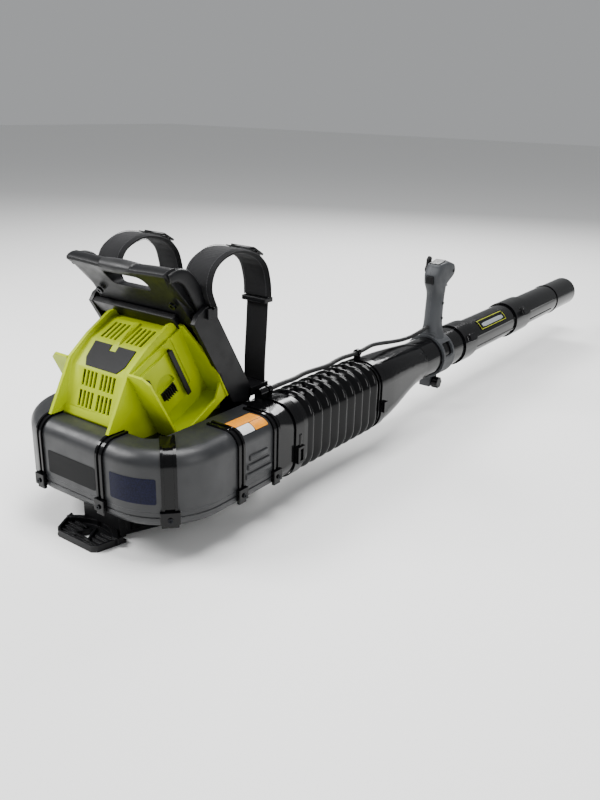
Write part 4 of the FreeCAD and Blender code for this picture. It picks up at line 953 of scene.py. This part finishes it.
# %% Back pad
PAD_TOP, PAD_BOTTOM = Vector((0, 34.5, 333.5)) * MM, Vector((0, 129, 181)) * MM
PAD_OUT = ACROSS.cross(PAD_BOTTOM - PAD_TOP).normalized() * -1
PAD_HALF = 62 * MM
PAD_SEAMS = (0.34, 0.67)


def near_seam(u, v):
    return min([u, 1 - u, (1 - abs(v)) * 0.36] + [abs(u - seam) * 1.2 for seam in PAD_SEAMS])


def pad_place(u, v):
    return PAD_TOP.lerp(PAD_BOTTOM, u) + ACROSS * (v * PAD_HALF)


def pad_share(spot):
    along = PAD_BOTTOM - PAD_TOP
    return (spot - PAD_TOP).dot(along) / along.length_squared, spot.x / PAD_HALF


back = quilt("back_cushion", pad_place, lambda u: PAD_OUT, 42, 30,
             lambda u, v: (1.6 + 5.4 * min(1, near_seam(u, v) / 0.08) ** 0.5) * MM)
blown_up(back, lambda spot: near_seam(*pad_share(spot)) < 0.02, 4.0, 3.0 * MM)
finish(back, pad_cloth, "chassis", ("back_pad",))
print("back cushion with", len(PAD_SEAMS), "seams")

# %% [markdown]
# ## Plates and stickers
# Printed films are stuck on the housing: a dark plate in front, a figure panel round the corner and a
# coloured notice on the duct's shoulder. All are left blank. Each is an open sheet that follows the wall
# 0.35 mm off it, about the height of a real film with its glue, so that the two never flicker through
# each other.

# %% Films on the housing
WALL_FRONT, CORNER_X, CORNER_Y, CORNER_R = -168 * MM, 92 * MM, -63 * MM, 105 * MM
FILM, FILM_ROWS = 0.35 * MM, 6


def on_wall(run, height):
    """A point on the housing's front wall, or past its corner round the arc."""
    if run <= CORNER_X:
        return Vector((run, WALL_FRONT - FILM, height))
    angle = (run - CORNER_X) / CORNER_R
    reach = CORNER_R + FILM
    return Vector((CORNER_X + reach * math.sin(angle), CORNER_Y - reach * math.cos(angle), height))


SHOULDER_X, SHOULDER_Z, SHOULDER_R, TOP_Z = 173 * MM, 148 * MM, 24 * MM, 172 * MM


def on_shoulder(run, y):
    """A point on the duct's top, or past it down the rounded shoulder; run starts at the shoulder."""
    if run <= 0:
        return Vector((SHOULDER_X + run, y, TOP_Z + FILM))
    angle = run / SHOULDER_R
    reach = SHOULDER_R + FILM
    return Vector((SHOULDER_X + reach * math.sin(angle), y, SHOULDER_Z + reach * math.cos(angle)))


def film(name, place, first, second, material, corner=3 * MM, steps=28, body="chassis"):
    """A sheet over two ranges, with cut corners, pulled onto the surface by place()."""
    (a0, a1), (b0, b1) = ((v * MM for v in pair) for pair in (first, second))
    vertices, faces = [], []
    for i in range(steps + 1):
        a = a0 + (a1 - a0) * i / steps
        edge = max(0.0, 1 - min(a - a0, a1 - a) / corner)
        tuck = corner * (1 - math.sqrt(max(0.0, 1 - edge * edge)))
        for j in range(FILM_ROWS + 1):
            vertices.append(place(a, b0 + tuck + (b1 - b0 - 2 * tuck) * j / FILM_ROWS))
    for i in range(steps):
        for j in range(FILM_ROWS):
            k = i * (FILM_ROWS + 1) + j
            faces.append((k, k + 1, k + FILM_ROWS + 2, k + FILM_ROWS + 1))
    sheet = close_up(new_object(name, vertices, faces))
    outward = sum((p.normal for p in sheet.data.polygons), Vector())
    middle = sum((v.co for v in sheet.data.vertices), Vector()) / len(sheet.data.vertices)
    if outward.dot(middle - Vector((60, 0, 60)) * MM) < 0:
        sheet.data.flip_normals()
    sheet.data.shade_smooth()
    return finish(sheet, material, body, slot="badge_face")


film("front_plate", on_wall, (-49, 55), (93, 129), badge_film, 1.5 * MM)
film("corner_plate", on_wall, (86, 160), (96, 135), panel_film, 2 * MM, 40)
film("side_strip", lambda run, height: Vector((-160 * MM - FILM, run, height)), (-78, -52), (98, 128),
     badge_film)
film("notice_top", on_shoulder, (-18, 4), (-6, 52), amber_film, 1.5 * MM)
film("notice_low", on_shoulder, (5, 21), (-6, 21), white_film, 1.5 * MM)
film("notice_side", on_shoulder, (5, 21), (22.5, 52), amber_film, 1.5 * MM)
print("six films")

# %% [markdown]
# The plate on the middle tube has a thin coloured frame line, printed near its edge.

# %% Frame line on the tube's plate
TUBE_X, TUBE_Z, PLATE_R = 148 * MM, 124 * MM, 40.45 * MM


def on_tube(y, arc):
    angle = arc / PLATE_R
    return Vector((TUBE_X + PLATE_R * math.cos(angle), y, TUBE_Z + PLATE_R * math.sin(angle)))


ARC_LOW, ARC_HIGH, LINE_WIDE = 22.3, 45.4, 0.9
PLATE_REAR, PLATE_FRONT = 841, 975
FRAME_LINES = {"low": ((PLATE_REAR, PLATE_FRONT), (ARC_LOW, ARC_LOW + LINE_WIDE)),
               "high": ((PLATE_REAR, PLATE_FRONT), (ARC_HIGH - LINE_WIDE, ARC_HIGH)),
               "rear": ((PLATE_REAR, PLATE_REAR + 1), (ARC_LOW, ARC_HIGH)),
               "front": ((PLATE_FRONT - 1, PLATE_FRONT), (ARC_LOW, ARC_HIGH))}
for name, (along, arc) in FRAME_LINES.items():
    film("plate_line_" + name, on_tube, along, arc, trim_film, 0.01 * MM, 4, "middle_tube")
film("plate_field", on_tube, (852, 964), (ARC_LOW + 4, ARC_HIGH - 9), silver_film, 1.5 * MM, 8, "middle_tube")


# %% Ribs on the duct's side
def bar(name, centre_mm, size_mm, radius_mm, material, slot, body="chassis"):
    """A small moulded block with rounded edges."""
    shape = bmesh.new()
    bmesh.ops.create_cube(shape, size=1.0)
    bmesh.ops.scale(shape, vec=[s * MM for s in size_mm], verts=shape.verts)
    bmesh.ops.translate(shape, vec=[c * MM for c in centre_mm], verts=shape.verts)
    made = bevelled(object_from(shape, name), radius_mm * MM, 3)
    return finish(smooth(made), material, body, slot=slot)


def turned_bar(name, centre_mm, size_mm, radius_mm, axes, material, slot, body="chassis"):
    """A rounded block about its centre, its sides along three given directions."""
    piece = bar(name, (0, 0, 0), size_mm, radius_mm, material, slot, body)
    turn = Matrix([Vector(axis).normalized() for axis in axes]).transposed().to_4x4()
    piece.data.transform(Matrix.Translation(Vector(centre_mm) * MM) @ turn)
    return piece


for level in range(3):
    bar(f"duct_rib_{level + 1}", (197.4, 23, 98 + level * 14), (4.0, 60 - level * 9, 9), 1.8, charcoal_nylon,
        "charcoal_shell")

# %% [markdown]
# ## Canopy handle
# The machine is lifted by a canopy that leans over the motor. It is one moulding: a hollow front that
# narrows to a waist, a rolled lip on top, and a slot behind the lip for the fingers. Its section is one
# closed line that sags forwards and back, carried from side to side while it narrows, and the slot is cut
# out of it. A softer wrap sits on the lip where the palm goes.

# %% Canopy
HOOD_HALF, HOOD_ROWS, HOOD_COLUMNS = 103.0, 12, 36
# Top and bottom (y, z) of the front and of the back, and the direction that both sag in.
HOOD_FRONT = ((-67, 391), (-3, 306))
HOOD_BACK = ((-42, 398), (8, 316))
HOOD_INWARD = (0.79, 0.61)
HOOD_LIP = [(0, -48, 401.5), (0, -56, 401), (0, -63, 398.5), (0, -67, 395)]
FRONT_SAG, FRONT_SAG_LESS, BACK_SAG, LIP_DIP = 9, 4, 5, 3.0
WAIST, TAPER = 0.105, 0.03
SLOT_AT, SLOT_SIZE, SLOT_CORNER = (0, -40, 369), (84, 90, 23), 9.0


def carve(piece, cutter):
    """Cuts one closed shape out of another and throws the cutter away."""
    cut = piece.modifiers.new("cut", "BOOLEAN")
    cut.operation = "DIFFERENCE"
    cut.solver = "EXACT"
    cut.object = cutter
    bake_modifiers(piece)
    bpy.data.objects.remove(cutter)


def sagging(ends, share, sag):
    """Height share, y and z on a face that sags between its two ends."""
    (top_y, top_z), (low_y, low_z) = ends
    hollow = math.sin(math.pi * share) * sag
    return (share, top_y + (low_y - top_y) * share + HOOD_INWARD[0] * hollow,
            top_z + (low_z - top_z) * share + HOOD_INWARD[1] * hollow)


def hood_section(across):
    """Closed line of (height share, y, z) in millimetres, at a share of the half width."""
    down = [i / HOOD_ROWS for i in range(HOOD_ROWS + 1)]
    line = [sagging(HOOD_FRONT, share, FRONT_SAG - FRONT_SAG_LESS * across * across) for share in down]
    line += [sagging(HOOD_BACK, 1 - share, BACK_SAG) for share in down]
    dip = LIP_DIP * math.cos(math.pi * across / 2) ** 2
    return [(t, y, z - dip * max(0, 1 - 3 * t)) for t, y, z in line + HOOD_LIP]


def narrowed(share):
    """Width at a height share, as a share of the full width."""
    return 1 - WAIST * math.sin(math.pi * share ** 0.8) - TAPER * share


rings = []
for column in range(HOOD_COLUMNS + 1):
    across = 2 * column / HOOD_COLUMNS - 1
    rings.append([Vector((across * HOOD_HALF * narrowed(t), y, z)) * MM for t, y, z in hood_section(across)])
hood = loft("canopy_handle", rings)
carve(hood, bar("hand_slot_cutter", SLOT_AT, SLOT_SIZE, SLOT_CORNER, matte_black, None))
smooth(bevelled(hood, 2.4 * MM, 3, 45), 40)
finish(hood, matte_black, "chassis", ("carry_handle",))
print("canopy", len(hood.data.polygons), "faces")

# %% Arms of the canopy
ARM_LINE = [(-58, 388), (-44, 391), (-26, 384), (-8, 364), (8, 338), (30, 302), (52, 266)]
ARM_X, ARM_WIDE, ARM_DEEP = 100 * MM, 6.5 * MM, 12.5 * MM
# Each arm grows from a share of its height at its tip to its full height a little further back.
TIP_Y, FULL_FROM, TIP_Z, TIP_HEIGHT = -70 * MM, -18 * MM, 388 * MM, 0.45
arm_line = Line(ARM_LINE)
arm_section = [(ARM_WIDE * math.copysign(abs(math.cos(a)) ** 0.5, math.cos(a)),
                ARM_DEEP * math.copysign(abs(math.sin(a)) ** 0.6, math.sin(a)))
               for a in (2 * math.pi * (k + 0.5) / 24 for k in range(24))]
for side, sign in (("right", 1), ("left", -1)):
    arm = swept("canopy_arm_" + side, arm_line, sign * ARM_X, arm_section)
    for vertex in arm.data.vertices:
        if vertex.co.y < FULL_FROM:
            grown = max(0.0, vertex.co.y - TIP_Y) / (FULL_FROM - TIP_Y)
            height = min(1.0, TIP_HEIGHT + (1 - TIP_HEIGHT) * grown)
            vertex.co.z += (1 - height) * (TIP_Z - vertex.co.z)
    finish(arm, matte_black, "chassis", slot="black_matte")

# %% Ledges, foot and palm wrap
FRONT_DOWN = Vector((0, HOOD_INWARD[1], -HOOD_INWARD[0]))
CANOPY_AXES = (ACROSS, FRONT_DOWN, ACROSS.cross(FRONT_DOWN))
for name, spot, size in (("canopy_ledge_upper", (0, -25, 353), (150, 3.4, 3.0)),
                         ("canopy_ledge_lower", (0, -8.5, 333), (146, 3.4, 3.0)),
                         ("canopy_foot", (-17, -11, 313), (176, 24, 10))):
    turned_bar(name, spot, size, 1.2, CANOPY_AXES, matte_black, "black_matte")
WRAP_STEP, WRAP_STEPS, WRAP_ROUND = 3, 24, 20
WRAP_Y, WRAP_Z = -53, 391.5
WRAP_RADIUS, WRAP_SWELL, SWELL_SPAN = 9.6, 1.5, 76
WRAP_LIP, LIP_FROM = 3.0, 35
WRAP_DEEP, WRAP_HIGH = 1.45, 0.95
wrap = []
for i in range(WRAP_STEPS + 1):
    x = WRAP_STEP * (i - WRAP_STEPS / 2)
    radius = WRAP_RADIUS + WRAP_SWELL * math.cos(math.pi * x / SWELL_SPAN) ** 2
    radius -= WRAP_LIP if abs(x) > LIP_FROM else 0
    wrap.append([Vector((x, WRAP_Y + WRAP_DEEP * radius * math.cos(a),
                         WRAP_Z + WRAP_HIGH * radius * math.sin(a))) * MM
                 for a in (2 * math.pi * k / WRAP_ROUND for k in range(WRAP_ROUND))])
palm = smooth(loft("palm_wrap", wrap), 50)
finish(palm, rubber_black, "chassis", ("handle_grip",))

# %% [markdown]
# ## Pistol grip
# The grip is oval where the fingers close round it, and squares off into the head above them. At its foot it
# flares and flows into the clamp. Both half shells are drawn as a stack of level sections, each with its own
# depth, width and squareness, and a smooth curve runs through them from foot to head.

# %% Grip sections
# Height, back and front from the grip's upright line, half width and squareness, from the foot up.
GRIP_SECTIONS = [
    (157, -24, 25, 27, 2.6), (166, -23, 24.5, 24.5, 2.4), (174, -21.5, 24, 21.5, 2.3),
    (184, -20.5, 23, 19.2, 2.2), (196, -20, 22, 18.3, 2.1), (212, -18.8, 21, 18.1, 2.1),
    (228, -17.5, 20.5, 18.1, 2.1), (244, -16.2, 20.5, 18.1, 2.1), (256, -17.5, 21, 18.1, 2.2),
    (266, -22, 23, 18.1, 2.6), (274, -26, 27, 18.1, 3.2), (279, -27.6, 35, 18.2, 3.8),
    (284, -28.5, 45, 18.2, 4.2), (290, -29, 54, 18.3, 4.5), (297, -29, 58, 18.3, 4.5),
    (304, -25.5, 57, 18.2, 4.2), (310, -21.8, 53, 17.8, 3.8), (316, -18, 37, 16.8, 3.4),
    (319, 0, 28, 14.5, 3.0), (321.6, 14, 20, 9.5, 2.6)]
GRIP_Y = 658.0
STEPS_BETWEEN, HALF_ROUND = 4, 28


def grip_section(place):
    """Height, back, front, half width and squareness at a place along the stack."""
    last = len(GRIP_SECTIONS) - 1
    i = min(int(place), last - 1)
    t = place - i
    around = [GRIP_SECTIONS[min(max(k, 0), last)] for k in range(i - 1, i + 3)]
    return [0.5 * (2 * b + (c - a) * t + (2 * a - 5 * b + 4 * c - d) * t * t
                   + (3 * b - a - 3 * c + d) * t ** 3) for a, b, c, d in zip(*around)]


def power(value, exponent):
    """A power that keeps the sign of its base."""
    return math.copysign(abs(value) ** exponent, value)


def grip_half(name, sign):
    """One half of the grip, closed by a flat face at the seam; its section is a squared oval."""
    rings = []
    for row in range((len(GRIP_SECTIONS) - 1) * STEPS_BETWEEN + 1):
        z, back, front, half, square = grip_section(row / STEPS_BETWEEN)
        ring = []
        for k in range(HALF_ROUND + 1):
            a = math.pi * (k / HALF_ROUND - 0.5)
            out = half * power(max(0.0, math.cos(a)), 2 / square) if 0 < k < HALF_ROUND else 0.0
            along = (back + front) / 2 + (front - back) / 2 * power(math.sin(a), 2 / square)
            ring.append(Vector((TUBE_X / MM + sign * out, GRIP_Y + along, z)) * MM)
        rings.append(ring)
    return loft(name, rings)


def tube_cutter(radius_mm, y_from, y_to, count=96):
    """A rod along the tube's axis."""
    around = [2 * math.pi * k / count for k in range(count)]
    return loft("tube_cutter", [[Vector((TUBE_X / MM + radius_mm * math.cos(a), y,
                                         TUBE_Z / MM + radius_mm * math.sin(a))) * MM for a in around]
                                for y in (y_from, y_to)])


print(len(GRIP_SECTIONS), "grip sections")

# %% [markdown]
# The trigger, the button and the lever come out through openings. The foot is hollowed to the tube that it
# sits on, and the clamp below it has a large window, which saves plastic.

# %% Grip shells and clamp
# Middle, size and corner radius of the trigger's, the button's and the lever's opening.
GRIP_OPENINGS = (((148, 686, 252), (18, 36, 52), 1.0), ((148, 634, 286.3), (16.6, 28, 16.6), 1.0),
                 ((128, 660, 302), (20, 6.8, 6.8), 2.8))
for side, sign in (("right", 1), ("left", -1)):
    shell = grip_half("grip_skin_" + side, sign)
    for spot, size, radius in GRIP_OPENINGS:
        carve(shell, bar("grip_cutter", spot, size, radius, matte_black, None))
    carve(shell, tube_cutter(42.5, 600, 720))
    smooth(shell, 34)
    finish(shell, grip_grey, "handle", ("grip_shell_" + side,))
    print(shell.name, len(shell.data.polygons), "faces")

clamp = rounded("handle_clamp_upper", 1.0)
carve(clamp, bar("clamp_window_cutter", (190, 658, 142), (50, 34, 27), 3.0, matte_black, None))
smooth(clamp, 30)
finish(clamp, grip_grey, body_of["handle_clamp_upper"], ("handle_clamp_upper",))
print("clamp", len(clamp.data.polygons), "faces")

# %% [markdown]
# ## Small fittings
# A few small mouldings finish the machine: the thumb lugs that turn the tube's couplings, the hooks on the
# elbow's clamp, and the grip's window. Each is a block with rounded edges, because that is how a mould-maker
# cuts such a detail.


# %% Lugs, hooks and window
TUBE_AXIS = Vector((0, 1, 0))
LUG_REACH, LUG_SIZE = 42.6, (26, 9, 3.4)
for name, y, body in (("middle", 764, "middle_tube"), ("nozzle", 1074, "nozzle")):
    for number, degrees in enumerate((38, 158)):
        angle = math.radians(degrees)
        out = Vector((math.cos(angle), 0, math.sin(angle)))
        spot = Vector((TUBE_X / MM, y, TUBE_Z / MM)) + out * LUG_REACH
        turned_bar(f"{name}_thumb_lug_{number + 1}", spot, LUG_SIZE, 1.4,
                   (TUBE_AXIS, out.cross(TUBE_AXIS), out), gloss_black, "black_gloss", body)
for number, height in enumerate((112, 86)):
    bar(f"clamp_hook_{number + 1}", (199.6, 124, height), (5.2, 7 - number * 2, 30 - number * 6), 2.2,
        gloss_black, "black_gloss")
bar("grip_window", (134.4, 651, 292), (9.4, 6.4, 13), 1.4, gloss_black, "black_matte", "handle")
print("four lugs, two hooks and a window")

# %% [markdown]
# ## Size
# The size of the finished model is put beside the CAD model's size.

# %% Size and finish
size = {"cad": [list(corner) for corner in cad_box], "model": [list(corner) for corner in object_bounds()]}
